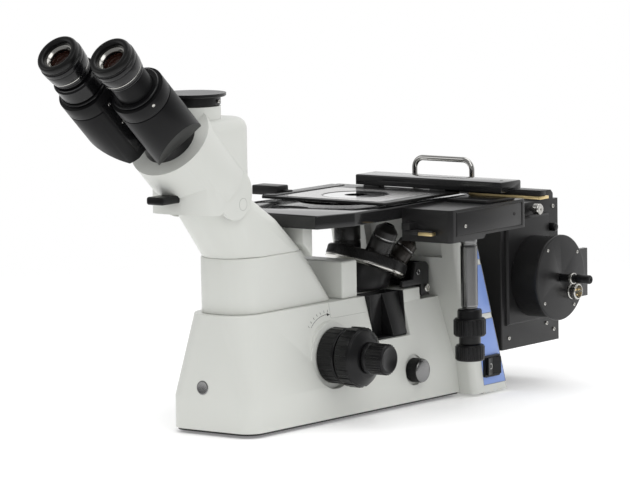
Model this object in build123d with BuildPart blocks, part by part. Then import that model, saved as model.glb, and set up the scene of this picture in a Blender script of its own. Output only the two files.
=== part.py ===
"""Inverted microscope on a table: the stand, the inclined binocular head, the fixed stage with its
mechanical slides, the five-place nosepiece and the illuminator unit behind the column."""
import math
import os

from build123d import *

# Frame: Z up from the table, the observer stands at -Y, X = 0 is the plane of symmetry and the
# objective in use stands on the Z axis. Lengths in millimetres, angles in degrees.

# Shared clearances
overrun = 2.0
running_gap = 0.05
body_gap = 0.3

# Stand
foot_height = 3.0
foot_radius = 11.0
base_plate_thickness = 2.0
base_plate_inset = 1.5
base_top = 122.0
base_front = -231.0
base_rear = 130.0
bottom_half_front = 53.0
bottom_half_rear = 64.0
bottom_corner = 18.0
top_half_front = 37.5
top_half_rear = 50.0
top_corner = 32.0
base_bottom_front = -236.5
base_waist = 38.0
cavity_half_width = 25.0
cavity_front = -205.0
cavity_rear = 95.0
cavity_top = 105.0
foot_front_x = 27.0
foot_front_y = -195.0
foot_rear_x = 62.0
foot_rear_y = 140.0
deck_step_y = 61.0
deck_step_top = 109.0

# Rear column
column_half_width = 83.0
column_foot_front = 112.0
column_foot_rear = 176.5
column_top_front = 74.0
column_top_rear = 109.0
column_corner = 7.0
stage_bottom = 203.0
panel_thickness = 1.2
panel_front_margin = 18.0
panel_rear_margin = 4.5
panel_levels = (11.0, 82.0, 88.0, 141.0, 147.0, 178.0)

# Upper body and neck
body_half_width = 34.5
body_front = -223.0
neck_seam = 179.0
neck_rear_at_seam = -113.0
body_rear_at_base = -65.0
body_front_round = 30.0
body_rear_round = 17.0
neck_top_front = (-264.0, 228.0)
neck_top_rear = (-204.0, 245.0)
neck_rear_bend = (-157.0, 216.0)

# Binocular head: distances along the tube axis run from the eye lens face down into the stand
tilt = 42.0
eye_y = -425.0
eye_z = 399.5
pupil_radius = 37.5
swing_rest = 28.4
snout_start = 162.0
snout_length = 73.0
snout_radius = 43.5
head_half_width = 38.0
head_front = -292.0
head_rear = -199.0
head_top = 323.0
head_round = 27.0
head_top_edge = 12.0
head_underside_front = (-340.0, 234.0)
port_y = -255.8
port_neck_radius = 28.5
port_neck_top = 336.0
port_ring_height = 9.5
port_cap_height = 3.5
port_cap_radius = 34.0
port_bore_radius = 19.0
port_ring_lip = 2.0

# Wings of the head
wing_top = 56.0
wing_end = 145.5
wing_radius = 28.5
wing_flat = 26.5
wing_flat_turn = 15.5
wing_groove_at = 70.5
wing_groove_width = 1.4
wing_groove_depth = 0.8
wing_bevel_at = 144.0
wing_bevel_angle = 38.0
wing_bore_end = 119.0
hub_radius = 13.0
hub_height = 6.7
pin_radius = 5.0
pin_head_radius = 7.5
pin_head_height = 5.0
hinge_plate_slope = 4.0

# Eyepieces and their tubes
tube_radius = 19.0
tube_bore = 15.05
tube_start = 33.0
tube_edge = 6.0
diopter_outer = 22.0
diopter_end = 51.0
diopter_taper = 1.5
barrel_start = 8.5
barrel_end = 31.5
barrel_top_radius = 23.0
barrel_low_radius = 21.0
barrel_neck_radius = 20.2
sleeve_end = 72.0
sleeve_bore = 11.5
cup_radius = 22.6
cup_inner = 13.0
cup_edge = 2.5
lens_seat = 4.5
lens_thickness = 3.0
lens_crown = 1.2

# Selector lever on the head
selector_y = -300.0
selector_z = 247.0
selector_half = 15.0
selector_depth = 22.0
selector_height = 8.0
selector_round = 5.0
selector_travel = 8.0

# Stage
stage_top = 217.0
stage_half_width = 79.0
stage_front = -137.5
stage_rear = 112.5
stage_chamfer_x = 64.0
stage_chamfer_y = -93.0
stage_hole = 50.0
stage_edge = 1.2
pillar_half_width = 34.0
pillar_front = -121.0
pillar_rear = -105.0
guard_half_width = 40.0
guard_front = -63.0
guard_rear = -37.0
guard_top = 161.0
guard_edge = 2.0

# Nosepiece turret
turret_tilt = 21.0
turret_heading = 18.0
seat_radius = 26.0
turret_height = 150.5
turret_radius = 41.5
turret_rim = 7.0
turret_lip = 3.0
turret_lip_inset = 3.0
turret_shoulder = 34.0
turret_shoulder_height = 4.0
turret_base_radius = 30.0
turret_pin = 6.0
objective_count = 5
objective_lengths = (48.0, 42.0, 38.0, 33.0, 44.0)
objective_radii = (14.0, 13.0, 11.5, 11.0, 13.0)
objective_nose_share = 0.45
objective_nose_length_share = 0.22
objective_collar = 3.0
objective_thread = 9.9
objective_thread_length = 6.0
objective_lens = 3.0

# Focus carriage
carriage_half_width = 49.0
carriage_front = 70.0
carriage_back = 78.0
carriage_low = 112.5
carriage_high = 148.0
cheek_front = 30.0
cheek_shoulder = 54.0
cheek_thickness = 4.0
cheek_round = 9.0
cheek_tongue_top = 131.0
cheek_step_y = 64.0
arm_half_width = 22.0
arm_low = 124.6
arm_high = 128.4
guide_half_width = 14.0
guide_low = 110.0
guide_high = 150.0
light_bore = 9.0
deck_bore = 14.0
recess_left = -35.0
recess_right = 62.0
recess_low = 151.0
recess_depth = 9.0

# Side pocket in the base
pocket_front = -31.0
pocket_length = 61.0
pocket_low = 74.5
pocket_depth = 24.0
pocket_lean = 5.0
pocket_wall = 2.0
pocket_wedge_share = 0.42

# Focus knobs
focus_y = -97.5
focus_z = 69.5
shaft_radius = 6.0
fine_shaft_radius = 3.0
boss_end = 51.0
boss_radius = 34.5
boss_depth = 15.0
dimmer_recess = 16.0
collar_start = 51.3
collar_end = 73.0
collar_radius = 26.0
coarse_end = 98.0
coarse_radius = 30.0
coarse_bevel = 5.5
fine_end = 124.0
fine_radius = 16.5
fine_tip_radius = 15.0
knob_ribs = 18
rib_radius = 2.2
fine_ribs = 30
fine_rib_radius = 0.9
pinion_radius = 10.0
pinion_half_length = 9.0

# Intensity knob
dimmer_y = 34.0
dimmer_z = 38.0
dimmer_start = 57.5
dimmer_end = 73.0
dimmer_radius = 12.5
dimmer_shaft = 3.0
dimmer_dome = 2.2
dimmer_shaft_inside = 12.0

# Power switch on the column
switch_y = 141.0
switch_z = 31.0
switch_width = 24.0
switch_height = 19.0
switch_depth = 3.0
switch_frame = 2.0
rocker_bulge = 3.0

# Mechanical stage drive
drive_left = stage_half_width
drive_right = 141.0
drive_front = -11.0
drive_rear = 126.0
drive_low = 180.0
drive_top = 214.0
drive_round = 5.0
drive_step = 4.0
drive_step_y = 48.0
spindle_x = 114.0
spindle_y = 59.0
spindle_tube = 9.0
spindle_bore = 5.05
spindle_core = 5.0
upper_knob = (103.5, 94.0, 75.0, 66.5)
upper_knob_radii = (12.8, 16.8, 11.5)
lower_knob = (66.0, 49.0)
lower_knob_radius = 15.3
spindle_ribs = 24
spindle_rib_radius = 1.1
lock_x = 92.0
lock_y = -18.0
lock_z = 188.0
lock_reach = 14.0
lock_half_width = 3.0
lock_height = 5.0
lock_tip_radius = 2.4
lock_tip_length = 17.0
lock_pin_radius = 2.0
lock_bracket_half_width = 5.0
lock_bracket_top = 200.0

# Slides and specimen holder
slide_left = 86.0
slide_right = 136.0
slide_front = 60.0
slide_rear = 113.0
brass_low = 217.5
brass_thickness = 3.0
brass_inset = 10.0
brass_left = drive_left + brass_inset
brass_right = 180.0
brass_front = 95.0
brass_rear = 111.0
rail_left = 60.0
rail_right = 178.0
rail_front = 98.0
rail_rear = 108.0
rail_thickness = 6.0
bar_left = -48.0
bar_right = 140.0
bar_front = 82.0
bar_rear = 118.0
bar_low = 223.6
bar_high = 234.5
bar_edge = 0.8
holder_left = -79.0
holder_right = 81.0
holder_front = -44.0
holder_rear = 93.0
holder_low = 219.0
holder_thickness = 3.0
holder_corner = 3.0
insert_x = 5.0
insert_y = 10.3
insert_radius = 35.5
insert_seat = 1.2
insert_hole = 12.0
insert_pad_left = -62.0
insert_pad_height = 0.8
spacer_width = 20.0
spacer_left = (-38.0, 48.0)
clip_left = -112.0
clip_right = -79.0
clip_front = -16.0
clip_rear = 4.0
clip_height = 10.0

# Illuminator unit
unit_front = 163.0
unit_rear = 273.0
unit_low = 44.0
unit_top = 198.0
unit_wall = 3.0
unit_edge = 1.5
cap_front = 236.0
cap_rear = 264.0
cap_height = 10.0
cap_chamfer = 5.0
flange_radius = 55.0
flange_tube = 34.0
flange_bore = 20.0
flange_thickness = 4.0
lamp_y = 219.0
lamp_z = 119.0
plate_front = 170.0
plate_rear = 251.0
plate_low = 70.0
plate_high = 184.0
plate_thickness = 4.0
plate_bevel = 2.0
drum_radius = 43.5
drum_wall = 2.5
drum_length = 31.0
disc_radius = 46.0
disc_thickness = 4.0
disc_edge = 1.0
rod_radius = 4.2
rod_length = 38.0
rod_collar_radius = 5.6
rod_collar_at = 12.0
rod_collar_length = 5.0
socket_y = 238.0
socket_z = 102.5
socket_radius = 8.5
socket_length = 10.0
socket_pin_radius = 1.1
socket_pin_ring = 3.6
socket_pins = 3
fin_front = 250.0
fin_rear = 298.0
fin_low = 90.0
fin_high = 142.0
fin_at = 104.0
fin_thickness = 6.0
bulb_radius = 9.0
bulb_length = 30.0
bulb_base_radius = 7.0
condenser_thickness = 8.0

# Carrying handle
handle_half_span = 37.5
handle_y = 176.0
handle_top = 245.0
handle_tube = 3.0
handle_bend = 11.0
handle_foot = 6.0
handle_foot_height = 3.0

# Optics inside
splitter_half = 15.0
splitter_low = 78.0
splitter_height = 27.0
splitter_bore = 11.0
mirror_half = 15.0
mirror_front = -16.0
mirror_rear = 16.0
mirror_toe = 4.0
mirror_top = 36.0
head_prism = 26.0
prism_low = 243.0

# Small sizes of the head and the knobs
lobe_y = -236.0
lobe_z = 247.0
lobe_radius = 26.0
pin_socket = 12.0
pin_start = 66.0
hub_levels = (112.0, 119.1)
hinge_plate_start = 147.5
hinge_plate_radius = 28.0
port_plug = 6.0
port_cap_edge = 1.0
selector_stem_half = 2.5
selector_skin = 1.0
selector_slant = 7.0
selector_round_small = 2.0
barrel_bore = 13.0
barrel_step = 3.0
sleeve_gap = 0.05
lens_ledge = 0.6
cup_groove = 0.8
lens_crown_share = 0.75
diopter_start = 33.5
rocker_room = 0.5
rocker_pin = 1.0
rocker_pin_out = 0.4
rocker_pin_depth = 1.5
level_share = 0.05
rocker_stand = 1.6
rocker_root = 0.1
stage_corner = 4.0
turret_offset = 24.3
seat_sink = 3.0
seat_spot = 14.3
objective_step = 1.2
coarse_edge = 2.0
coarse_face = 20.0
fine_edge = 1.2
fine_dish = 3.0
collar_edge = 1.5
dimmer_rib_out = 0.3
spindle_seat = 6.0
spindle_seat_gap = 0.0
spindle_head = 6.0
bar_slot_end = 40.0
lock_pin_length = 8.0
rod_inside = 8.0
socket_floor = 3.0
socket_wall = 1.5
condenser_crown = 5.0

# Derived places
down = Vector(0, math.cos(math.radians(tilt)), -math.sin(math.radians(tilt)))
rise = Vector(0, math.sin(math.radians(tilt)), math.cos(math.radians(tilt)))
swing_cos = math.cos(math.radians(swing_rest))
swing_sin = math.sin(math.radians(swing_rest))
tilt_share = math.tan(math.radians(tilt))
hinge_origin = Vector(0, eye_y, eye_z) + rise * (pupil_radius * swing_sin)
housing_low = foot_height + base_plate_thickness
holder_top = holder_low + holder_thickness
pieces = {}


def keep(name, piece):
    """Name a finished piece, so that it is written at the end."""
    piece.part.label = name
    pieces[name] = piece.part


def along_hinge(distance):
    return hinge_origin + down * distance


def hinge_plane(distance):
    return Plane(origin=along_hinge(distance), x_dir=(1, 0, 0), z_dir=down)


def radial(side):
    """Direction from the hinge axis to one tube axis."""
    return Vector(side * swing_cos, 0, 0) - rise * swing_sin


def tube_plane(side, distance):
    origin = along_hinge(distance) + radial(side) * pupil_radius
    return Plane(origin=origin, x_dir=radial(side), z_dir=down)


def outline(plane, points):
    """Closed flat outline on a plane."""
    with BuildSketch(plane) as sketch:
        with BuildLine():
            Polyline(*points, close=True)
        make_face()
    return sketch.sketch


def bar(plane, points, amount, both=False, mode=Mode.ADD):
    extrude(to_extrude=outline(plane, points), amount=amount, both=both, mode=mode)


def block(x_range, y_range, z_range, mode=Mode.ADD):
    x0, x1 = x_range
    y0, y1 = y_range
    z0, z1 = z_range
    points = ((x0, y0), (x1, y0), (x1, y1), (x0, y1))
    bar(Plane.XY.offset(z0), points, z1 - z0, mode=mode)


def disc(plane, radius, amount, mode=Mode.ADD):
    with BuildSketch(plane) as sketch:
        Circle(radius)
    extrude(to_extrude=sketch.sketch, amount=amount, mode=mode)


def bore(plane, radius, amount):
    disc(plane, radius, amount, mode=Mode.SUBTRACT)


def spin(origin, direction, side, points, mode=Mode.ADD):
    """Turn a profile of (radius, distance) pairs about a direction."""
    way = Vector(*direction)
    across = Vector(*side)
    plane = Plane(origin=origin, x_dir=across, z_dir=across.cross(way))
    revolve(profiles=outline(plane, points), axis=Axis(origin, way), mode=mode)


def x_plane(x, y, z, side=1):
    return Plane(origin=(x, y, z), x_dir=(0, 1, 0), z_dir=(side, 0, 0))


def y_plane(x, y, z, side=1):
    return Plane(origin=(x, y, z), x_dir=(1, 0, 0), z_dir=(0, side, 0))


def ribs(plane, count, ring, radius, amount):
    """Grooves round the rim of a knob."""
    with BuildSketch(plane) as sketch:
        with PolarLocations(ring, count):
            Circle(radius)
    extrude(to_extrude=sketch.sketch, amount=amount, mode=Mode.SUBTRACT)


def turret_axis():
    lean = math.radians(turret_tilt)
    turn = math.radians(turret_heading)
    return Vector(
        math.sin(lean) * math.sin(turn),
        math.sin(lean) * math.cos(turn),
        math.cos(lean),
    )


def front_line(z):
    """Y of the leaning front face of the column."""
    share = (z - foot_height) / (stage_bottom - foot_height)
    return column_foot_front + (column_top_front - column_foot_front) * share


def rear_line(z):
    share = (z - foot_height) / (stage_bottom - foot_height)
    return column_foot_rear + (column_top_rear - column_foot_rear) * share


def snout_face(y):
    """Height at which the front plane of the snout passes one Y."""
    start = along_hinge(snout_start)
    return start.Z + (y - start.Y) / tilt_share


def stand_plan(z, front, half_front, half_rear, corner):
    """Plan of the stand at one height: rounded front, sides that spread to the rear."""
    points = (
        (half_front, front),
        (half_rear, base_rear),
        (-half_rear, base_rear),
        (-half_front, front),
    )
    with BuildSketch(Plane.XY.offset(z)) as sketch:
        with BuildLine():
            Polyline(*points, close=True)
        make_face()
        fillet(sketch.vertices().sort_by(Axis.Y)[:2], radius=corner)
    return sketch.sketch


# Base housing
with BuildPart() as base_housing:
    loft(
        sections=[
            stand_plan(housing_low, base_bottom_front, bottom_half_front, bottom_half_rear,
                       bottom_corner),
            stand_plan(base_waist, base_bottom_front, bottom_half_front, bottom_half_rear,
                       bottom_corner),
            stand_plan(base_top, base_front, top_half_front, top_half_rear, top_corner),
        ],
        ruled=True,
    )
    for side in (1, -1):
        disc(x_plane(0, focus_y, focus_z, side), boss_radius, boss_end)
        disc(x_plane(side * boss_end, focus_y, focus_z, side), boss_radius, boss_depth,
             mode=Mode.SUBTRACT)
    disc(x_plane(dimmer_start - body_gap, dimmer_y, dimmer_z), dimmer_recess, boss_depth,
         mode=Mode.SUBTRACT)
    block((-cavity_half_width, cavity_half_width), (cavity_front, cavity_rear),
          (housing_low - overrun, cavity_top), mode=Mode.SUBTRACT)
    block((-column_half_width, column_half_width), (deck_step_y, base_rear + overrun),
          (deck_step_top, base_top + overrun), mode=Mode.SUBTRACT)
    column_side = (
        (front_line(0), 0),
        (front_line(base_top + overrun), base_top + overrun),
        (base_rear + overrun, base_top + overrun),
        (base_rear + overrun, 0),
    )
    bar(Plane.YZ, column_side, column_half_width, both=True, mode=Mode.SUBTRACT)
    bore(Plane.XY.offset(cavity_top - overrun), deck_bore, base_top)
    lean_share = pocket_lean / (base_top - pocket_low)
    pocket_side = (
        (pocket_front + pocket_lean, pocket_low),
        (pocket_front - lean_share * overrun, base_top + overrun),
        (pocket_front + pocket_length - lean_share * overrun, base_top + overrun),
        (pocket_front + pocket_length + pocket_lean, pocket_low),
    )
    pocket_inner = top_half_rear - pocket_depth
    bar(Plane.YZ.offset(pocket_inner), pocket_side, column_half_width, mode=Mode.SUBTRACT)
    bore(x_plane(-boss_end - overrun, focus_y, focus_z), shaft_radius + running_gap,
         (boss_end + overrun) * 2)
    bore(x_plane(dimmer_start - dimmer_shaft_inside, dimmer_y, dimmer_z),
         dimmer_shaft + running_gap, dimmer_shaft_inside + overrun)
keep("base_housing", base_housing)

with BuildPart() as base_plate:
    plate_points = (
        (bottom_half_front - base_plate_inset, base_bottom_front + base_plate_inset),
        (bottom_half_rear - base_plate_inset * 2, column_foot_front - base_plate_inset),
        (-bottom_half_rear + base_plate_inset * 2, column_foot_front - base_plate_inset),
        (-bottom_half_front + base_plate_inset, base_bottom_front + base_plate_inset),
    )
    bar(Plane.XY.offset(foot_height), plate_points, base_plate_thickness)
    fillet(base_plate.edges().filter_by(Axis.Z).sort_by(Axis.Y)[:2], radius=bottom_corner)
keep("base_plate", base_plate)

with BuildPart() as rubber_feet:
    disc(Plane.XY, foot_radius, foot_height)
    for x, y in ((foot_front_x, foot_front_y), (foot_rear_x, foot_rear_y)):
        for side in (1, -1):
            disc(Plane(origin=(side * x, y, 0)), foot_radius, foot_height)
keep("rubber_feet", rubber_feet)

with BuildPart() as filter_pocket:
    inner_side = (
        (pocket_front + pocket_lean, pocket_low),
        (pocket_front, base_top),
        (pocket_front + pocket_length, base_top),
        (pocket_front + pocket_length + pocket_lean, pocket_low),
    )
    bar(Plane.YZ.offset(pocket_inner), inner_side, pocket_depth)
    hollow = (
        (pocket_front + pocket_lean + pocket_wall, pocket_low + pocket_wall),
        (pocket_front + pocket_wall - lean_share * overrun, base_top + overrun),
        (pocket_front + pocket_length - pocket_wall - lean_share * overrun, base_top + overrun),
        (pocket_front + pocket_length + pocket_lean - pocket_wall, pocket_low + pocket_wall),
    )
    bar(Plane.YZ.offset(pocket_inner + pocket_wall), hollow, pocket_depth, mode=Mode.SUBTRACT)
    ramp_rear = pocket_front + pocket_length * pocket_wedge_share
    ramp = (
        (pocket_inner + pocket_wall, pocket_front + pocket_lean),
        (top_half_rear, pocket_front + pocket_lean),
        (pocket_inner + pocket_wall, ramp_rear),
    )
    bar(Plane.XY.offset(pocket_low), ramp, (base_top - pocket_low) * pocket_wedge_share)
keep("filter_pocket", filter_pocket)

# Upper body and neck
with BuildPart() as upper_body:
    body_side = (
        (body_front, base_top),
        (body_front, neck_seam),
        (neck_rear_at_seam, neck_seam),
        (body_rear_at_base, base_top),
    )
    bar(Plane.YZ, body_side, body_half_width, both=True)
    uprights = upper_body.edges().filter_by(GeomType.LINE).filter_by(Axis.X, reverse=True)
    fillet(uprights.filter_by(Axis.Z).sort_by(Axis.Y)[:2], radius=body_front_round)
    slanted = [
        edge
        for edge in upper_body.edges().filter_by(GeomType.LINE)
        if abs(edge.tangent_at(0).Z) > abs(edge.tangent_at(0).Y) * level_share
        and edge.center().Y > neck_rear_at_seam
    ]
    fillet(slanted, radius=body_rear_round)
keep("upper_body", upper_body)

with BuildPart() as neck_housing:
    neck_side = (
        (body_front, neck_seam),
        neck_top_front,
        neck_top_rear,
        neck_rear_bend,
        (neck_rear_at_seam, neck_seam),
    )
    bar(Plane.YZ, neck_side, body_half_width, both=True)
    front_slants = [
        edge
        for edge in neck_housing.edges()
        if abs(edge.tangent_at(0).X) < level_share and edge.center().Y < neck_top_front[0] + body_half_width
        and abs(edge.tangent_at(0).Z) > level_share and edge.center().Z < neck_top_front[1]
    ]
    fillet(front_slants, radius=body_front_round)
    rear_slants = [
        edge
        for edge in neck_housing.edges().filter_by(GeomType.LINE)
        if abs(edge.tangent_at(0).X) < level_share
        and edge.center().Y > neck_top_rear[0] and edge.center().Z > neck_seam
    ]
    fillet(rear_slants, radius=body_rear_round)
keep("neck_housing", neck_housing)

# Binocular head
with BuildPart() as head_housing:
    block((-head_half_width, head_half_width), (head_front, head_rear),
          (neck_rear_bend[1], head_top))
    fillet(head_housing.edges().filter_by(Axis.Z), radius=head_round)
    fillet(head_housing.faces().sort_by(Axis.Z)[-1].edges(), radius=head_top_edge)
    ahead = (
        (head_front, snout_face(head_front)),
        (head_front + (head_top - snout_face(head_front)) * tilt_share, head_top),
        (head_front, head_top),
    )
    bar(Plane.YZ, ahead, snout_radius * 2, both=True, mode=Mode.SUBTRACT)
    disc(hinge_plane(snout_start), snout_radius, snout_length)
    underside = (
        head_underside_front,
        neck_top_front,
        neck_top_rear,
        (head_rear + head_round, neck_top_rear[1] + head_top_edge),
        (head_rear + head_round, 0),
        (head_underside_front[0], 0),
    )
    bar(Plane.YZ, underside, snout_radius * 2, both=True, mode=Mode.SUBTRACT)
    for side in (1, -1):
        lobe_start = body_half_width + body_gap
        disc(x_plane(side * lobe_start, lobe_y, lobe_z, side), lobe_radius,
             head_half_width - lobe_start)
    disc(Plane(origin=(0, port_y, head_top - overrun)), port_neck_radius,
         port_neck_top - head_top + overrun)
    bore(Plane(origin=(0, port_y, prism_low)), port_bore_radius, port_neck_top)
    bore(hinge_plane(snout_start - overrun), pin_radius, pin_socket + overrun)
    bore(hinge_plane(hinge_plate_start - overrun), hinge_plate_radius,
         snout_start - hinge_plate_start + overrun)
    slot_width = selector_stem_half + selector_travel + running_gap
    block((-slot_width, slot_width), (head_front - selector_depth, head_front + selector_depth),
          (selector_z - selector_stem_half - body_gap, selector_z + selector_stem_half + body_gap),
          mode=Mode.SUBTRACT)
keep("head_housing", head_housing)

with BuildPart() as camera_port_ring:
    spin((0, port_y, port_neck_top), (0, 0, 1), (1, 0, 0), (
        (port_bore_radius, 0),
        (port_neck_radius - port_ring_lip, 0),
        (port_neck_radius, port_ring_lip),
        (port_neck_radius, port_ring_height),
        (port_bore_radius, port_ring_height),
    ))
keep("camera_port_ring", camera_port_ring)

with BuildPart() as port_cap:
    spin((0, port_y, port_neck_top + port_ring_height), (0, 0, 1), (1, 0, 0), (
        (0, -port_plug),
        (port_bore_radius - body_gap, -port_plug),
        (port_bore_radius - body_gap, 0),
        (port_cap_radius - port_cap_edge, 0),
        (port_cap_radius, port_cap_edge),
        (port_cap_radius, port_cap_height),
        (0, port_cap_height),
    ))
keep("port_cap", port_cap)

with BuildPart() as head_prism_cube:
    block((-head_prism / 2, head_prism / 2), (port_y - head_prism / 2, port_y + head_prism / 2),
          (prism_low, prism_low + head_prism))
keep("head_prism", head_prism_cube)

with BuildPart() as selector_lever:
    surface = head_underside_front[1] + selector_height
    front_face = selector_y
    pad = (
        (front_face - selector_depth, surface),
        (front_face - selector_depth - selector_round, surface + selector_height),
        (front_face - selector_skin, surface + selector_height),
        (front_face + selector_slant - selector_skin, surface),
    )
    bar(Plane.YZ, pad, selector_half, both=True)
    fillet(selector_lever.edges().filter_by(Axis.Z, reverse=True).filter_by(Axis.X).sort_by(Axis.Y)[:2],
           radius=selector_round_small)
    block((-selector_stem_half, selector_stem_half),
          (front_face - selector_depth, head_front + selector_depth - selector_stem_half),
          (selector_z - selector_stem_half, selector_z + selector_stem_half))
keep("selector_lever", selector_lever)

with BuildPart() as hinge_block:
    spin(along_hinge(hinge_plate_start), down, (1, 0, 0), (
        (pin_radius, 0),
        (hinge_plate_radius - hinge_plate_slope, 0),
        (hinge_plate_radius, snout_start - hinge_plate_start),
        (pin_radius, snout_start - hinge_plate_start),
    ))
keep("hinge_plate", hinge_block)

with BuildPart() as hinge_pin:
    spin(along_hinge(pin_start), down, (1, 0, 0), (
        (0, 0),
        (pin_head_radius, 0),
        (pin_head_radius, pin_head_height),
        (hub_radius, pin_head_height),
        (hub_radius, hub_levels[0] - body_gap - pin_start),
        (pin_radius, hub_levels[0] - body_gap - pin_start),
        (pin_radius, snout_start + pin_socket - pin_start),
        (0, snout_start + pin_socket - pin_start),
    ))
keep("hinge_pin", hinge_pin)

# Wings with their hubs
for name, side, level in (("right", 1, hub_levels[0]), ("left", -1, hub_levels[1])):
    with BuildPart() as wing:
        disc(tube_plane(side, wing_top), wing_radius, wing_end - wing_top)
        flat_turn = math.radians(swing_rest + wing_flat_turn)
        inward = -radial(side)
        across = radial(side).cross(down) * side
        flat_normal = inward * math.cos(flat_turn) - across * math.sin(flat_turn)
        flat_plane = Plane(
            origin=along_hinge(wing_top - overrun) + radial(side) * pupil_radius
            + flat_normal * wing_flat,
            x_dir=flat_normal.cross(down),
            z_dir=flat_normal,
        )
        with BuildSketch(flat_plane) as flat_cut:
            Rectangle(wing_end * 2, wing_end * 3)
        extrude(to_extrude=flat_cut.sketch, amount=wing_radius, mode=Mode.SUBTRACT)
        outward = radial(side)
        bevel_turn = math.radians(wing_bevel_angle)
        bevel_normal = outward * math.cos(bevel_turn) + down * math.sin(bevel_turn)
        bevel_plane = Plane(
            origin=tube_plane(side, wing_bevel_at).origin,
            z_dir=bevel_normal,
        )
        with BuildSketch(bevel_plane) as bevel_cut:
            Rectangle(wing_end * 2, wing_end * 2)
        extrude(to_extrude=bevel_cut.sketch, amount=wing_radius * 2, mode=Mode.SUBTRACT)
        room = hub_radius + body_gap
        disc(hinge_plane(wing_top - overrun), room, level - wing_top + overrun, mode=Mode.SUBTRACT)
        after = level + hub_height
        disc(hinge_plane(after), room, wing_end - after + overrun, mode=Mode.SUBTRACT)
        disc(hinge_plane(level), hub_radius, hub_height)
        bore(hinge_plane(level - overrun), pin_radius + running_gap, hub_height + overrun * 2)
        disc(tube_plane(side, tube_start), tube_radius, wing_top - tube_start + tube_edge)
        bore(tube_plane(side, tube_start - overrun), tube_bore, wing_bore_end - tube_start + overrun)
        spin(tube_plane(side, wing_groove_at).origin, down, radial(side), (
            (wing_radius - wing_groove_depth, 0),
            (wing_radius + overrun, 0),
            (wing_radius + overrun, wing_groove_width),
            (wing_radius - wing_groove_depth, wing_groove_width),
        ), mode=Mode.SUBTRACT)
    keep(name + "_wing", wing)

    with BuildPart() as eyepiece:
        spin(tube_plane(side, barrel_start).origin, down, radial(side), (
            (barrel_bore, 0),
            (cup_inner - lens_ledge, -cup_edge),
            (cup_inner, cup_edge - barrel_start),
            (cup_radius - cup_edge, -barrel_start),
            (cup_radius, cup_edge - barrel_start),
            (cup_radius, -cup_groove),
            (barrel_low_radius, -cup_groove),
            (barrel_low_radius, 0),
            (barrel_top_radius, 0),
            (barrel_low_radius, barrel_end - barrel_start - barrel_step),
            (barrel_neck_radius, barrel_end - barrel_start - barrel_step),
            (barrel_neck_radius, barrel_end - barrel_start),
            (tube_bore - sleeve_gap, barrel_end - barrel_start),
            (tube_bore - sleeve_gap, sleeve_end - barrel_start),
            (sleeve_bore, sleeve_end - barrel_start),
            (sleeve_bore, barrel_end - barrel_start - barrel_step),
            (barrel_bore, barrel_end - barrel_start - barrel_step * 2),
        ))
    keep(name + "_eyepiece", eyepiece)

    with BuildPart() as lens:
        spin(tube_plane(side, barrel_start + lens_seat).origin, down, radial(side), (
            (0, -lens_crown),
            (barrel_bore / 2, -lens_crown * lens_crown_share),
            (barrel_bore, 0),
            (barrel_bore, lens_thickness),
            (0, lens_thickness),
        ))
    keep(name + "_eye_lens", lens)

with BuildPart() as diopter_ring:
    spin(tube_plane(-1, diopter_start).origin, down, radial(-1), (
        (tube_radius + running_gap, 0),
        (diopter_outer, 0),
        (diopter_outer, diopter_taper),
        (diopter_outer + diopter_taper, diopter_taper * 2),
        (diopter_outer + diopter_taper, diopter_end - diopter_start),
        (tube_radius + running_gap, diopter_end - diopter_start),
    ))
keep("diopter_ring", diopter_ring)

# Rear column
column_profile = (
    (column_foot_front, foot_height),
    (column_top_front, stage_bottom),
    (column_top_rear, stage_bottom),
    (column_foot_rear, foot_height),
)


def panel_outline(low, high, room):
    return (
        (front_line(low) + panel_front_margin - room, low - room),
        (front_line(high) + panel_front_margin - room, high + room),
        (rear_line(high) - panel_rear_margin + room, high + room),
        (rear_line(low) - panel_rear_margin + room, low - room),
    )


levels = tuple(zip(panel_levels[::2], panel_levels[1::2]))
with BuildPart() as rear_column:
    bar(Plane.YZ, column_profile, column_half_width, both=True)
    long_edges = [
        edge
        for edge in rear_column.edges()
        if abs(edge.tangent_at(0).X) < level_share and abs(edge.tangent_at(0).Z) > abs(edge.tangent_at(0).Y)
    ]
    fillet(long_edges, radius=column_corner)
    recess = (
        (front_line(recess_low) - overrun, recess_low),
        (front_line(stage_bottom) - overrun, stage_bottom + overrun),
        (front_line(stage_bottom) + recess_depth, stage_bottom + overrun),
        (front_line(recess_low) + recess_depth, recess_low),
    )
    bar(Plane.YZ.offset(recess_left), recess, recess_right - recess_left, mode=Mode.SUBTRACT)
    guide = (
        (carriage_back + running_gap, guide_low),
        (carriage_back + running_gap, guide_high),
        (front_line(guide_high), guide_high),
        (front_line(guide_low), guide_low),
    )
    bar(Plane.YZ, guide, guide_half_width, both=True)
    for side in (1, -1):
        for low, high in levels:
            face = outline(x_plane(side * (column_half_width - panel_thickness), 0, 0, 1),
                           panel_outline(low, high, 0))
            extrude(to_extrude=face, amount=side * panel_thickness * 2, mode=Mode.SUBTRACT)
keep("rear_column", rear_column)

with BuildPart() as side_panels:
    for side in (1, -1):
        for low, high in levels:
            face = outline(x_plane(side * (column_half_width - panel_thickness), 0, 0, 1),
                           panel_outline(low, high, 0))
            extrude(to_extrude=face, amount=side * panel_thickness)
keep("side_panels", side_panels)

with BuildPart() as switch_frame_part:
    block((column_half_width, column_half_width + switch_depth),
          (switch_y - switch_width / 2 - switch_frame, switch_y + switch_width / 2 + switch_frame),
          (switch_z - switch_height / 2 - switch_frame, switch_z + switch_height / 2 + switch_frame))
    fillet(switch_frame_part.edges().filter_by(Axis.X), radius=switch_frame)
    block((column_half_width, column_half_width + switch_depth + overrun),
          (switch_y - switch_width / 2, switch_y + switch_width / 2),
          (switch_z - switch_height / 2, switch_z + switch_height / 2), mode=Mode.SUBTRACT)
keep("switch_frame", switch_frame_part)

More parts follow.
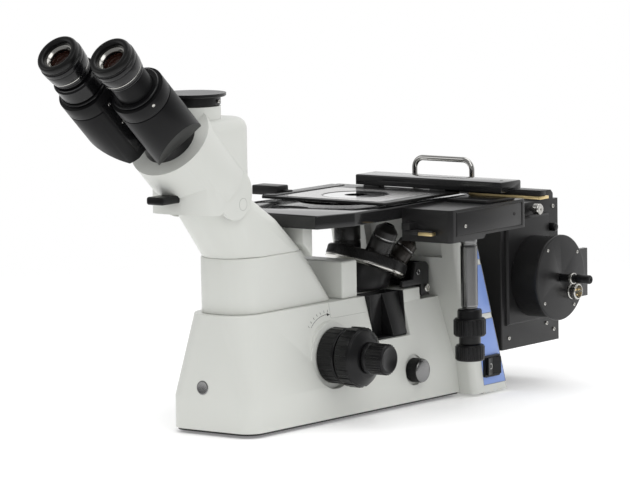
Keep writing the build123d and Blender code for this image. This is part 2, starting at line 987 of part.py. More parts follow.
with BuildPart() as power_rocker:
    half = switch_width / 2 - rocker_room
    rocker_plan = (
        (column_half_width + rocker_stand, switch_y - half),
        (column_half_width + switch_depth + rocker_bulge, switch_y - half),
        (column_half_width + switch_depth, switch_y),
        (column_half_width + switch_depth + rocker_bulge, switch_y + half),
        (column_half_width + rocker_stand, switch_y + half),
        (column_half_width + rocker_root, switch_y),
    )
    bar(Plane.XY.offset(switch_z - switch_height / 2 + rocker_room), rocker_plan,
        switch_height - rocker_room * 2)
    pin_low = switch_z - switch_height / 2 + rocker_room - rocker_pin_out
    disc(Plane(origin=(column_half_width + rocker_pin_depth, switch_y, pin_low)), rocker_pin,
         switch_height - (rocker_room - rocker_pin_out) * 2)
keep("power_rocker", power_rocker)

# Stage
with BuildPart() as stage_plate:
    stage_plan = (
        (-stage_chamfer_x, stage_front),
        (stage_chamfer_x, stage_front),
        (stage_half_width, stage_chamfer_y),
        (stage_half_width, stage_rear),
        (-stage_half_width, stage_rear),
        (-stage_half_width, stage_chamfer_y),
    )
    bar(Plane.XY.offset(stage_bottom), stage_plan, stage_top - stage_bottom)
    fillet(stage_plate.edges().filter_by(Axis.Z), radius=stage_corner)
    chamfer(stage_plate.faces().sort_by(Axis.Z)[-1].edges(), length=stage_edge)
    bore(Plane.XY.offset(stage_bottom - overrun), stage_hole, stage_top)
keep("stage_plate", stage_plate)

with BuildPart() as stage_pillar:
    slope = (neck_rear_bend[1] - neck_seam) / (neck_rear_bend[0] - neck_rear_at_seam)
    body_slope = (base_top - neck_seam) / (body_rear_at_base - neck_rear_at_seam)
    pillar_side = (
        (pillar_front, stage_bottom),
        (pillar_front, neck_seam + slope * (pillar_front - neck_rear_at_seam)),
        (neck_rear_at_seam, neck_seam),
        (pillar_rear, neck_seam + body_slope * (pillar_rear - neck_rear_at_seam)),
        (pillar_rear, stage_bottom),
    )
    bar(Plane.YZ, pillar_side, pillar_half_width, both=True)
keep("stage_pillar", stage_pillar)

with BuildPart() as nosepiece_guard:
    block((-guard_half_width, guard_half_width), (guard_front, guard_rear), (base_top, guard_top))
    fillet(nosepiece_guard.edges().filter_by(Axis.Z), radius=guard_edge)
keep("nosepiece_guard", nosepiece_guard)

# Nosepiece on its focusing carriage
axis_n = turret_axis()
turret_centre = Vector(
    math.sin(math.radians(turret_heading)) * turret_offset,
    math.cos(math.radians(turret_heading)) * turret_offset,
    turret_height,
)
side_n = Vector(math.cos(math.radians(turret_heading)), -math.sin(math.radians(turret_heading)), 0)

with BuildPart() as turret_base:
    spin(turret_centre, axis_n, side_n, (
        (0, -turret_height),
        (turret_base_radius, -turret_height),
        (turret_base_radius, -turret_rim - body_gap),
        (turret_pin, -turret_rim - body_gap),
        (turret_pin, -running_gap),
        (0, -running_gap),
    ))
    block((-column_half_width, column_half_width), (base_front, stage_rear), (-turret_height, arm_low),
          mode=Mode.SUBTRACT)
    block((-arm_half_width, arm_half_width), (0, carriage_front), (arm_low, arm_high))
    bore(Plane.XY, light_bore, turret_height)
keep("turret_base", turret_base)

with BuildPart() as focus_carriage:
    block((-carriage_half_width + cheek_thickness, carriage_half_width - cheek_thickness),
          (carriage_front, carriage_back), (carriage_low, carriage_high))
    cheek = (
        (carriage_back, carriage_low),
        (carriage_back, carriage_high),
        (cheek_shoulder, carriage_high),
        (cheek_shoulder - cheek_round / 2, cheek_tongue_top),
        (cheek_front, cheek_tongue_top),
        (cheek_front, arm_low),
        (cheek_step_y, arm_low),
        (cheek_step_y, carriage_low),
    )
    for side in (1, -1):
        face = outline(x_plane(side * (carriage_half_width - cheek_thickness), 0, 0, 1), cheek)
        extrude(to_extrude=face, amount=side * cheek_thickness)
keep("focus_carriage", focus_carriage)

with BuildPart() as turret_disc:
    spin(turret_centre, axis_n, side_n, (
        (turret_pin + running_gap, -turret_rim),
        (turret_radius - turret_lip_inset, -turret_rim),
        (turret_radius, -turret_rim + turret_lip),
        (turret_radius, 0),
        (turret_shoulder, turret_shoulder_height),
        (0, turret_shoulder_height),
        (0, 0),
        (turret_pin + running_gap, 0),
    ))
    seats = []
    for index in range(objective_count):
        turn = 2 * math.pi * index / objective_count
        toward = (side_n * math.sin(turn) - axis_n.cross(side_n) * math.cos(turn))
        lean = math.radians(turret_tilt)
        way = axis_n * math.cos(lean) + toward * math.sin(lean)
        foot = turret_centre + axis_n * (turret_shoulder_height - seat_sink) + toward * seat_radius
        seats.append((foot, way))
    for foot, way in seats:
        bore(Plane(origin=foot - way * turret_rim * 2, z_dir=way), objective_thread,
             turret_rim * 4)
        bore(Plane(origin=foot, z_dir=way), seat_spot, turret_rim * 2)
keep("turret_disc", turret_disc)

for index, (foot, way) in enumerate(seats):
    with BuildPart() as objective:
        length = objective_lengths[index]
        radius = objective_radii[index]
        nose = radius * objective_nose_share
        nose_length = length * objective_nose_length_share
        across = way.cross(Vector(1, 0, 0)).normalized()
        spin(foot, way, across, (
            (0, -objective_thread_length),
            (objective_thread, -objective_thread_length),
            (objective_thread, 0),
            (radius - objective_step, 0),
            (radius - objective_step, objective_collar),
            (radius, objective_collar + objective_step),
            (radius, length - nose_length),
            (nose, length),
            (nose / 2, length),
            (nose / 2, length - objective_lens),
            (0, length - objective_lens),
        ))
    keep("objective_" + str(index + 1), objective)

# Focus knobs on both sides of the base
with BuildPart() as coarse_focus:
    disc(x_plane(-coarse_end + coarse_bevel, focus_y, focus_z), shaft_radius,
         (coarse_end - coarse_bevel) * 2)
    disc(x_plane(-pinion_half_length, focus_y, focus_z), pinion_radius, pinion_half_length * 2)
    start = collar_end + body_gap
    for side in (1, -1):
        spin((side * start, focus_y, focus_z), (side, 0, 0), (0, 1, 0), (
            (0, 0),
            (coarse_radius - coarse_edge, 0),
            (coarse_radius, coarse_edge),
            (coarse_radius, coarse_end - start - coarse_bevel),
            (coarse_radius - coarse_edge, coarse_end - start - coarse_bevel + coarse_edge),
            (coarse_face, coarse_end - start),
            (0, coarse_end - start),
        ))
        ribs(x_plane(side * (start + coarse_edge), focus_y, focus_z, side), knob_ribs,
             coarse_radius + rib_radius / 2, rib_radius,
             coarse_end - start - coarse_bevel - coarse_edge * 2)
    bore(x_plane(-coarse_end - overrun, focus_y, focus_z), fine_shaft_radius + running_gap,
         (coarse_end + overrun) * 2)
keep("coarse_focus", coarse_focus)

with BuildPart() as fine_focus:
    start = coarse_end + body_gap
    disc(x_plane(-start, focus_y, focus_z), fine_shaft_radius, start * 2)
    for side in (1, -1):
        spin((side * start, focus_y, focus_z), (side, 0, 0), (0, 1, 0), (
            (0, 0),
            (fine_radius, 0),
            (fine_tip_radius, fine_end - start - fine_edge),
            (fine_tip_radius - fine_edge, fine_end - start),
            (fine_tip_radius / 2, fine_end - start - fine_dish / 2),
            (0, fine_end - start - fine_dish),
        ))
        ribs(x_plane(side * (start + fine_edge), focus_y, focus_z, side), fine_ribs,
             fine_radius, fine_rib_radius, fine_end - start - fine_edge * 2)
keep("fine_focus", fine_focus)

with BuildPart() as tension_collars:
    for side in (1, -1):
        spin((side * collar_start, focus_y, focus_z), (side, 0, 0), (0, 1, 0), (
            (shaft_radius + running_gap, 0),
            (collar_radius - collar_edge, 0),
            (collar_radius, collar_edge),
            (collar_radius, collar_end - collar_start),
            (shaft_radius + running_gap, collar_end - collar_start),
        ))
keep("tension_collars", tension_collars)

with BuildPart() as intensity_knob:
    spin((dimmer_start, dimmer_y, dimmer_z), (1, 0, 0), (0, 1, 0), (
        (0, -dimmer_shaft_inside),
        (dimmer_shaft, -dimmer_shaft_inside),
        (dimmer_shaft, 0),
        (dimmer_radius, 0),
        (dimmer_radius, dimmer_end - dimmer_start - dimmer_dome),
        (dimmer_radius - dimmer_dome, dimmer_end - dimmer_start),
        (0, dimmer_end - dimmer_start),
    ))
    ribs(x_plane(dimmer_start - overrun, dimmer_y, dimmer_z), fine_ribs, dimmer_radius + dimmer_rib_out,
         fine_rib_radius, dimmer_end - dimmer_start - dimmer_dome)
keep("intensity_knob", intensity_knob)

# Mechanical stage
with BuildPart() as drive_box:
    drive_side = (
        (drive_front, drive_low),
        (drive_step_y, drive_low),
        (drive_step_y + drive_step, drive_low + drive_step),
        (drive_rear, drive_low + drive_step),
        (drive_rear, drive_top),
        (drive_front, drive_top),
    )
    bar(Plane.YZ.offset(drive_left), drive_side, drive_right - drive_left)
    fillet(drive_box.edges().filter_by(Axis.Z).sort_by(Axis.X)[-2:], radius=drive_round)
    bore(Plane(origin=(spindle_x, spindle_y, drive_low - overrun)), spindle_tube,
         drive_step + spindle_seat)
    bore(Plane(origin=(spindle_x, spindle_y, drive_low - overrun)), spindle_bore, drive_top - drive_low)
    bar(Plane.YZ, column_profile, column_half_width, both=True, mode=Mode.SUBTRACT)
    block((lock_x - lock_bracket_half_width, lock_x + lock_bracket_half_width),
          (lock_y - lock_bracket_half_width, drive_front), (lock_z + lock_height, lock_bracket_top))
    bore(Plane(origin=(lock_x, lock_y, lock_z + lock_height - overrun)),
         lock_pin_radius + running_gap, lock_pin_length)
keep("drive_box", drive_box)

with BuildPart() as brass_strip:
    block((slide_left, slide_right), (slide_front, slide_rear),
          (drive_top + running_gap, brass_low))
    block((brass_left, brass_right), (brass_front, brass_rear),
          (brass_low, brass_low + brass_thickness))
keep("brass_strip", brass_strip)

with BuildPart() as x_rail:
    rail_low_z = brass_low + brass_thickness
    block((rail_left, rail_right), (rail_front, rail_rear), (rail_low_z, rail_low_z + rail_thickness))
keep("x_rail", x_rail)

with BuildPart() as x_bar:
    block((bar_left, bar_right), (bar_front, bar_rear), (bar_low, bar_high))
    chamfer(x_bar.faces().sort_by(Axis.Z)[-1].edges(), length=bar_edge)
    block((bar_left + bar_slot_end, bar_right + overrun),
          (rail_front - running_gap, rail_rear + running_gap),
          (bar_low - overrun, rail_low_z + rail_thickness + running_gap), mode=Mode.SUBTRACT)
keep("x_bar", x_bar)

with BuildPart() as specimen_holder:
    block((holder_left, holder_right), (holder_front, holder_rear), (holder_low, holder_top))
    fillet(specimen_holder.edges().filter_by(Axis.Z), radius=holder_corner)
    bore(Plane(origin=(insert_x, insert_y, holder_low - overrun)), insert_radius - insert_seat,
         holder_thickness + overrun * 2)
    bore(Plane(origin=(insert_x, insert_y, holder_low + insert_seat)), insert_radius + body_gap,
         holder_thickness)
    for left in spacer_left:
        block((left, left + spacer_width), (bar_front, holder_rear), (holder_top - overrun, bar_low))
    rim = insert_pad_height
    block((holder_left, insert_pad_left), (holder_front + holder_corner, bar_front - bar_edge),
          (holder_top, holder_top + rim))
keep("specimen_holder", specimen_holder)

with BuildPart() as stage_insert:
    disc(Plane(origin=(insert_x, insert_y, holder_low + insert_seat)), insert_radius,
         holder_thickness - insert_seat)
    bore(Plane(origin=(insert_x, insert_y, holder_low)), insert_hole, holder_thickness + overrun)
keep("stage_insert", stage_insert)

with BuildPart() as clip_block:
    block((clip_left, clip_right), (clip_front, clip_rear), (holder_low, holder_low + clip_height))
    chamfer(clip_block.faces().sort_by(Axis.Z)[-1].edges(), length=bar_edge)
keep("clip_block", clip_block)

collar_top, collar_low, knob_low, neck_low = upper_knob
collar_r, knob_r, neck_r = upper_knob_radii
with BuildPart() as spindle_sleeve:
    spin((spindle_x, spindle_y, collar_top), (0, 0, 1), (1, 0, 0), (
        (spindle_bore, 0),
        (spindle_tube, 0),
        (spindle_tube, drive_low + drive_step + spindle_seat - overrun - collar_top - spindle_seat_gap),
        (spindle_bore, drive_low + drive_step + spindle_seat - overrun - collar_top - spindle_seat_gap),
    ))
keep("spindle_sleeve", spindle_sleeve)

with BuildPart() as upper_stage_knob:
    spin((spindle_x, spindle_y, neck_low), (0, 0, 1), (1, 0, 0), (
        (spindle_bore, 0),
        (neck_r, 0),
        (neck_r, knob_low - neck_low),
        (knob_r, knob_low - neck_low),
        (knob_r, collar_low - neck_low),
        (collar_r, collar_low - neck_low),
        (collar_r, collar_top - neck_low - body_gap),
        (spindle_bore, collar_top - neck_low - body_gap),
    ))
    ribs(Plane(origin=(spindle_x, spindle_y, knob_low)), spindle_ribs, knob_r, spindle_rib_radius,
         collar_low - knob_low)
keep("upper_stage_knob", upper_stage_knob)

lower_top, lower_low = lower_knob
with BuildPart() as lower_stage_knob:
    spin((spindle_x, spindle_y, lower_low), (0, 0, 1), (1, 0, 0), (
        (0, 0),
        (lower_knob_radius, 0),
        (lower_knob_radius, lower_top - lower_low),
        (spindle_core, lower_top - lower_low),
        (spindle_core, drive_top - lower_low - spindle_head),
        (0, drive_top - lower_low - spindle_head),
    ))
    ribs(Plane(origin=(spindle_x, spindle_y, lower_low)), spindle_ribs, lower_knob_radius,
         spindle_rib_radius, lower_top - lower_low)
keep("lower_stage_knob", lower_stage_knob)

with BuildPart() as lock_lever:
    block((lock_x - lock_half_width, lock_x + lock_reach),
          (lock_y - lock_half_width, lock_y + lock_half_width), (lock_z, lock_z + lock_height - running_gap))
    disc(Plane(origin=(lock_x, lock_y, lock_z + lock_height - overrun)), lock_pin_radius,
         lock_pin_length)
    disc(x_plane(lock_x + lock_reach, lock_y, lock_z + lock_height / 2), lock_tip_radius,
         lock_tip_length)
keep("lock_lever", lock_lever)

# Illuminator unit behind the column
with BuildPart() as lamp_flange:
    disc(y_plane(0, rear_line(stage_bottom), lamp_z), flange_tube,
         unit_front - rear_line(stage_bottom))
    disc(y_plane(0, unit_front - flange_thickness, lamp_z), flange_radius, flange_thickness)
    bore(y_plane(0, rear_line(stage_bottom) - overrun, lamp_z), flange_bore, unit_rear)
    ahead = (
        (rear_line(foot_height), foot_height),
        (rear_line(stage_bottom), stage_bottom),
        (column_top_front, stage_bottom),
        (column_top_front, foot_height),
    )
    bar(Plane.YZ, ahead, column_half_width, both=True, mode=Mode.SUBTRACT)
keep("lamp_flange", lamp_flange)

plate_outer = column_half_width + plate_thickness
with BuildPart() as lamp_unit:
    unit_side = (
        (unit_front, unit_low),
        (unit_rear, unit_low),
        (unit_rear, unit_top),
        (cap_rear, unit_top),
        (cap_rear, unit_top + cap_height - cap_chamfer),
        (cap_rear - cap_chamfer, unit_top + cap_height),
        (cap_front + cap_chamfer, unit_top + cap_height),
        (cap_front, unit_top),
        (unit_front, unit_top),
    )
    bar(Plane.YZ, unit_side, column_half_width, both=True)
    fillet(lamp_unit.edges().filter_by(Axis.Z), radius=unit_edge)
    block((column_half_width - unit_wall, plate_outer), (plate_front, plate_rear),
          (plate_low, plate_high))
    chamfer(lamp_unit.faces().sort_by(Axis.X)[-1].edges(), length=plate_bevel)
    inner_x = column_half_width - unit_wall
    block((-inner_x, inner_x), (unit_front + unit_wall, unit_rear - unit_wall),
          (unit_low + unit_wall, unit_top - unit_wall), mode=Mode.SUBTRACT)
    bore(y_plane(0, unit_front - overrun, lamp_z), flange_bore, unit_wall + overrun * 2)
keep("lamp_unit", lamp_unit)

disc_start = plate_outer + drum_length
with BuildPart() as lamp_drum:
    disc(x_plane(disc_start, lamp_y, lamp_z), disc_radius, disc_thickness)
    chamfer(lamp_drum.faces().sort_by(Axis.X)[-1].edges(), length=disc_edge)
    disc(x_plane(plate_outer, lamp_y, lamp_z), drum_radius, drum_length)
    block((fin_at - fin_thickness, fin_at), (fin_front, fin_rear), (fin_low, fin_high))
    bore(x_plane(plate_outer + drum_wall, lamp_y, lamp_z), drum_radius - drum_wall,
         drum_length - drum_wall)
    bore(x_plane(disc_start - overrun, lamp_y, lamp_z), rod_radius + running_gap,
         disc_thickness + overrun * 2)
keep("lamp_drum", lamp_drum)

rod_start = disc_start + disc_thickness
with BuildPart() as lamp_rod:
    spin((rod_start, lamp_y, lamp_z), (1, 0, 0), (0, 1, 0), (
        (0, -rod_inside),
        (rod_radius, -rod_inside),
        (rod_radius, rod_collar_at),
        (rod_collar_radius, rod_collar_at),
        (rod_collar_radius, rod_collar_at + rod_collar_length),
        (rod_radius, rod_collar_at + rod_collar_length),
        (rod_radius, rod_length),
        (0, rod_length),
    ))
keep("lamp_rod", lamp_rod)

with BuildPart() as lamp_connector:
    disc(x_plane(rod_start, socket_y, socket_z), socket_radius, socket_length)
    bore(x_plane(rod_start + socket_floor, socket_y, socket_z), socket_radius - socket_wall,
         socket_length)
    with BuildSketch(x_plane(rod_start, socket_y, socket_z)) as pins:
        with PolarLocations(socket_pin_ring, socket_pins):
            Circle(socket_pin_radius)
    extrude(to_extrude=pins.sketch, amount=socket_length - socket_wall)
keep("lamp_connector", lamp_connector)

with BuildPart() as lamp_bulb:
    spin((bulb_length, lamp_y, lamp_z), (-1, 0, 0), (0, 1, 0), (
        (0, 0),
        (bulb_radius, 0),
        (bulb_radius, bulb_length - bulb_radius),
        (bulb_radius / 2, bulb_length - bulb_radius / 4),
        (0, bulb_length),
    ))
    disc(x_plane(inner_x, lamp_y, lamp_z, -1), bulb_base_radius, inner_x - bulb_length)
keep("lamp_bulb", lamp_bulb)

with BuildPart() as condenser_lens:
    spin((0, unit_front - condenser_thickness * 2, lamp_z), (0, 1, 0), (1, 0, 0), (
        (0, -condenser_crown),
        (flange_bore / 2, -condenser_crown * lens_crown_share),
        (flange_bore, 0),
        (flange_bore, condenser_thickness),
        (0, condenser_thickness),
    ))
keep("condenser_lens", condenser_lens)

with BuildPart() as carry_handle:
    with BuildLine() as path:
        FilletPolyline(
            (-handle_half_span, handle_y, unit_top),
            (-handle_half_span, handle_y, handle_top),
            (handle_half_span, handle_y, handle_top),
            (handle_half_span, handle_y, unit_top),
            radius=handle_bend,
        )
    with BuildSketch(Plane(origin=(-handle_half_span, handle_y, unit_top))):
        Circle(handle_tube)
    sweep()
    for side in (1, -1):
        disc(Plane(origin=(side * handle_half_span, handle_y, unit_top)), handle_foot,
             handle_foot_height)
keep("carry_handle", carry_handle)

# Optics in the base
with BuildPart() as fold_mirror:
    wedge = (
        (mirror_front, housing_low),
        (mirror_rear, housing_low),
        (mirror_rear, mirror_top),
        (mirror_rear - mirror_toe, mirror_top),
        (mirror_front, housing_low + mirror_toe),
    )
    bar(Plane.YZ, wedge, mirror_half, both=True)
keep("fold_mirror", fold_mirror)

with BuildPart() as beam_splitter:
    block((-cavity_half_width, cavity_half_width), (-splitter_half, splitter_half),
          (splitter_low, splitter_low + splitter_height))
    bore(Plane.XY.offset(splitter_low - overrun), splitter_bore, splitter_height + overrun * 2)
keep("beam_splitter", beam_splitter)

os.makedirs("parts", exist_ok=True)
for name, piece in pieces.items():
    export_step(piece, "parts/" + name + ".step")
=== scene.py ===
import math

import bmesh
import bpy
from mathutils import Matrix, Vector


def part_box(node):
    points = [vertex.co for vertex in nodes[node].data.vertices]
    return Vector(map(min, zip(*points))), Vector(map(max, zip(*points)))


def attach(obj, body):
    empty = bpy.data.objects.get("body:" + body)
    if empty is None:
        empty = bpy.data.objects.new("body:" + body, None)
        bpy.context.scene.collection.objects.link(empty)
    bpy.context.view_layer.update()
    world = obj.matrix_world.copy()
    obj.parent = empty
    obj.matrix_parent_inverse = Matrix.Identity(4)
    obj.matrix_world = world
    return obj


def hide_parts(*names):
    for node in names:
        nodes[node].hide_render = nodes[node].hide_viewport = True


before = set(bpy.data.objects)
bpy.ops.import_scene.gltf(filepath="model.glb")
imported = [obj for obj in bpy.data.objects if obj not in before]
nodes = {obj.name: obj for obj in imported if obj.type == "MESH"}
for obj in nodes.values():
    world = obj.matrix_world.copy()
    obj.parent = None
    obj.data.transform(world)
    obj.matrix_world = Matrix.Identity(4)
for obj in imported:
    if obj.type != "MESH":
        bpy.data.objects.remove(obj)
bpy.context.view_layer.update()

# camera
camera = {
    "place": (2.77995, -3.75835, 0.71990),
    "azimuth": 36.9,
    "elevation": 6.7,
    "roll": 0.9,
    "lens": 257.14,
}


def addCamera(settings):
    turn = math.radians(settings["azimuth"])
    rise = math.radians(settings["elevation"])
    back = Vector((math.sin(turn) * math.cos(rise), -math.cos(turn) * math.cos(rise), math.sin(rise)))
    across = Vector((math.cos(turn), math.sin(turn), 0))
    up = back.cross(across)
    roll = math.radians(settings["roll"])
    right = across * math.cos(roll) - up * math.sin(roll)
    top = up * math.cos(roll) + across * math.sin(roll)
    data = bpy.data.cameras.new("camera")
    data.lens = settings["lens"]
    data.sensor_width = 36
    data.clip_end = 50
    obj = bpy.data.objects.new("camera", data)
    bpy.context.scene.collection.objects.link(obj)
    turned = Matrix((right, top, back)).transposed().to_4x4()
    obj.matrix_world = Matrix.Translation(settings["place"]) @ turned
    bpy.context.scene.camera = obj


addCamera(camera)
print("camera set")

# node groups that several finishes share


def newGroup(name, inputs, outputs):
    group = bpy.data.node_groups.new(name, "ShaderNodeTree")
    for label, kind, value in inputs:
        socket = group.interface.new_socket(name=label, in_out="INPUT", socket_type=kind)
        socket.default_value = value
    for label, kind in outputs:
        group.interface.new_socket(name=label, in_out="OUTPUT", socket_type=kind)
    start = group.nodes.new("NodeGroupInput")
    end = group.nodes.new("NodeGroupOutput")
    return group, start, end


def toneGroup():
    # soft clouds of lighter and darker colour
    group, start, end = newGroup(
        "tone drift",
        [("Color", "NodeSocketColor", (1, 1, 1, 1)), ("Scale", "NodeSocketFloat", 20),
         ("Amount", "NodeSocketFloat", 0.05)],
        [("Color", "NodeSocketColor")],
    )
    n, link = group.nodes, group.links
    place = n.new("ShaderNodeTexCoord")
    noise = n.new("ShaderNodeTexNoise")
    noise.inputs["Detail"].default_value = 6
    span = n.new("ShaderNodeMapRange")
    span.inputs["From Min"].default_value = 0.3
    span.inputs["From Max"].default_value = 0.7
    span.inputs["To Min"].default_value = -1
    scaled = n.new("ShaderNodeMath")
    scaled.operation = "MULTIPLY"
    light = n.new("ShaderNodeMath")
    light.operation = "ADD"
    light.inputs[1].default_value = 1
    hue = n.new("ShaderNodeHueSaturation")
    link.new(place.outputs["Object"], noise.inputs["Vector"])
    link.new(start.outputs["Scale"], noise.inputs["Scale"])
    link.new(noise.outputs["Fac"], span.inputs["Value"])
    link.new(span.outputs["Result"], scaled.inputs[0])
    link.new(start.outputs["Amount"], scaled.inputs[1])
    link.new(scaled.outputs[0], light.inputs[0])
    link.new(light.outputs[0], hue.inputs["Value"])
    link.new(start.outputs["Color"], hue.inputs["Color"])
    link.new(hue.outputs["Color"], end.inputs["Color"])
    return group


def grainGroup():
    # fine height for a Bump node, and a roughness that wanders with it
    group, start, end = newGroup(
        "fine grain",
        [("Scale", "NodeSocketFloat", 900), ("Roughness", "NodeSocketFloat", 0.4),
         ("Spread", "NodeSocketFloat", 0.05)],
        [("Height", "NodeSocketFloat"), ("Roughness", "NodeSocketFloat")],
    )
    n, link = group.nodes, group.links
    place = n.new("ShaderNodeTexCoord")
    fine = n.new("ShaderNodeTexNoise")
    fine.inputs["Detail"].default_value = 3
    broad = n.new("ShaderNodeTexNoise")
    broad.inputs["Scale"].default_value = 45
    broad.inputs["Detail"].default_value = 4
    centre = n.new("ShaderNodeMath")
    centre.operation = "SUBTRACT"
    centre.inputs[1].default_value = 0.5
    spread = n.new("ShaderNodeMath")
    spread.operation = "MULTIPLY_ADD"
    link.new(place.outputs["Object"], fine.inputs["Vector"])
    link.new(place.outputs["Object"], broad.inputs["Vector"])
    link.new(start.outputs["Scale"], fine.inputs["Scale"])
    link.new(broad.outputs["Fac"], centre.inputs[0])
    link.new(centre.outputs[0], spread.inputs[0])
    link.new(start.outputs["Spread"], spread.inputs[1])
    link.new(start.outputs["Roughness"], spread.inputs[2])
    link.new(fine.outputs["Fac"], end.inputs["Height"])
    link.new(spread.outputs[0], end.inputs["Roughness"])
    return group


def brushGroup():
    # drawn-out scratches along one axis
    group, start, end = newGroup(
        "brush lines",
        [("Stretch", "NodeSocketVector", (1, 1, 60)), ("Scale", "NodeSocketFloat", 300),
         ("Roughness", "NodeSocketFloat", 0.3), ("Spread", "NodeSocketFloat", 0.15)],
        [("Height", "NodeSocketFloat"), ("Roughness", "NodeSocketFloat")],
    )
    n, link = group.nodes, group.links
    place = n.new("ShaderNodeTexCoord")
    stretch = n.new("ShaderNodeVectorMath")
    stretch.operation = "MULTIPLY"
    lines = n.new("ShaderNodeTexNoise")
    lines.inputs["Detail"].default_value = 5
    centre = n.new("ShaderNodeMath")
    centre.operation = "SUBTRACT"
    centre.inputs[1].default_value = 0.5
    spread = n.new("ShaderNodeMath")
    spread.operation = "MULTIPLY_ADD"
    link.new(place.outputs["Object"], stretch.inputs[0])
    link.new(start.outputs["Stretch"], stretch.inputs[1])
    link.new(stretch.outputs["Vector"], lines.inputs["Vector"])
    link.new(start.outputs["Scale"], lines.inputs["Scale"])
    link.new(lines.outputs["Fac"], centre.inputs[0])
    link.new(centre.outputs[0], spread.inputs[0])
    link.new(start.outputs["Spread"], spread.inputs[1])
    link.new(start.outputs["Roughness"], spread.inputs[2])
    link.new(lines.outputs["Fac"], end.inputs["Height"])
    link.new(spread.outputs[0], end.inputs["Roughness"])
    return group


groups = {"tone": toneGroup(), "grain": grainGroup(), "brush": brushGroup()}
print("shared effects built")


def finish(name, color, roughness=0.4, metallic=0.0, grainScale=1200, bump=0.04, drift=0.04,
           driftScale=14, spread=0.08, coat=0.0, brushed=None, specular=0.5):
    mat = bpy.data.materials.new(name)
    mat.use_nodes = True
    n, link = mat.node_tree.nodes, mat.node_tree.links
    shader = n["Principled BSDF"]
    shader.inputs["Metallic"].default_value = metallic
    shader.inputs["Coat Weight"].default_value = coat
    shader.inputs["Coat Roughness"].default_value = 0.15
    shader.inputs["Specular IOR Level"].default_value = specular
    tone = n.new("ShaderNodeGroup")
    tone.node_tree = groups["tone"]
    tone.inputs["Color"].default_value = (*color, 1)
    tone.inputs["Scale"].default_value = driftScale
    tone.inputs["Amount"].default_value = drift
    link.new(tone.outputs["Color"], shader.inputs["Base Color"])
    relief = n.new("ShaderNodeGroup")
    relief.node_tree = groups["brush" if brushed else "grain"]
    if brushed:
        relief.inputs["Stretch"].default_value = brushed
    relief.inputs["Scale"].default_value = grainScale
    relief.inputs["Roughness"].default_value = roughness
    relief.inputs["Spread"].default_value = spread
    link.new(relief.outputs["Roughness"], shader.inputs["Roughness"])
    lift = n.new("ShaderNodeBump")
    lift.inputs["Strength"].default_value = bump
    lift.inputs["Distance"].default_value = 0.0004
    link.new(relief.outputs["Height"], lift.inputs["Height"])
    link.new(lift.outputs["Normal"], shader.inputs["Normal"])
    return mat


def glassFinish(name, color):
    mat = finish(name, color, roughness=0.02, bump=0.0, drift=0.02, spread=0.01)
    shader = mat.node_tree.nodes["Principled BSDF"]
    shader.inputs["Transmission Weight"].default_value = 0.85
    return mat


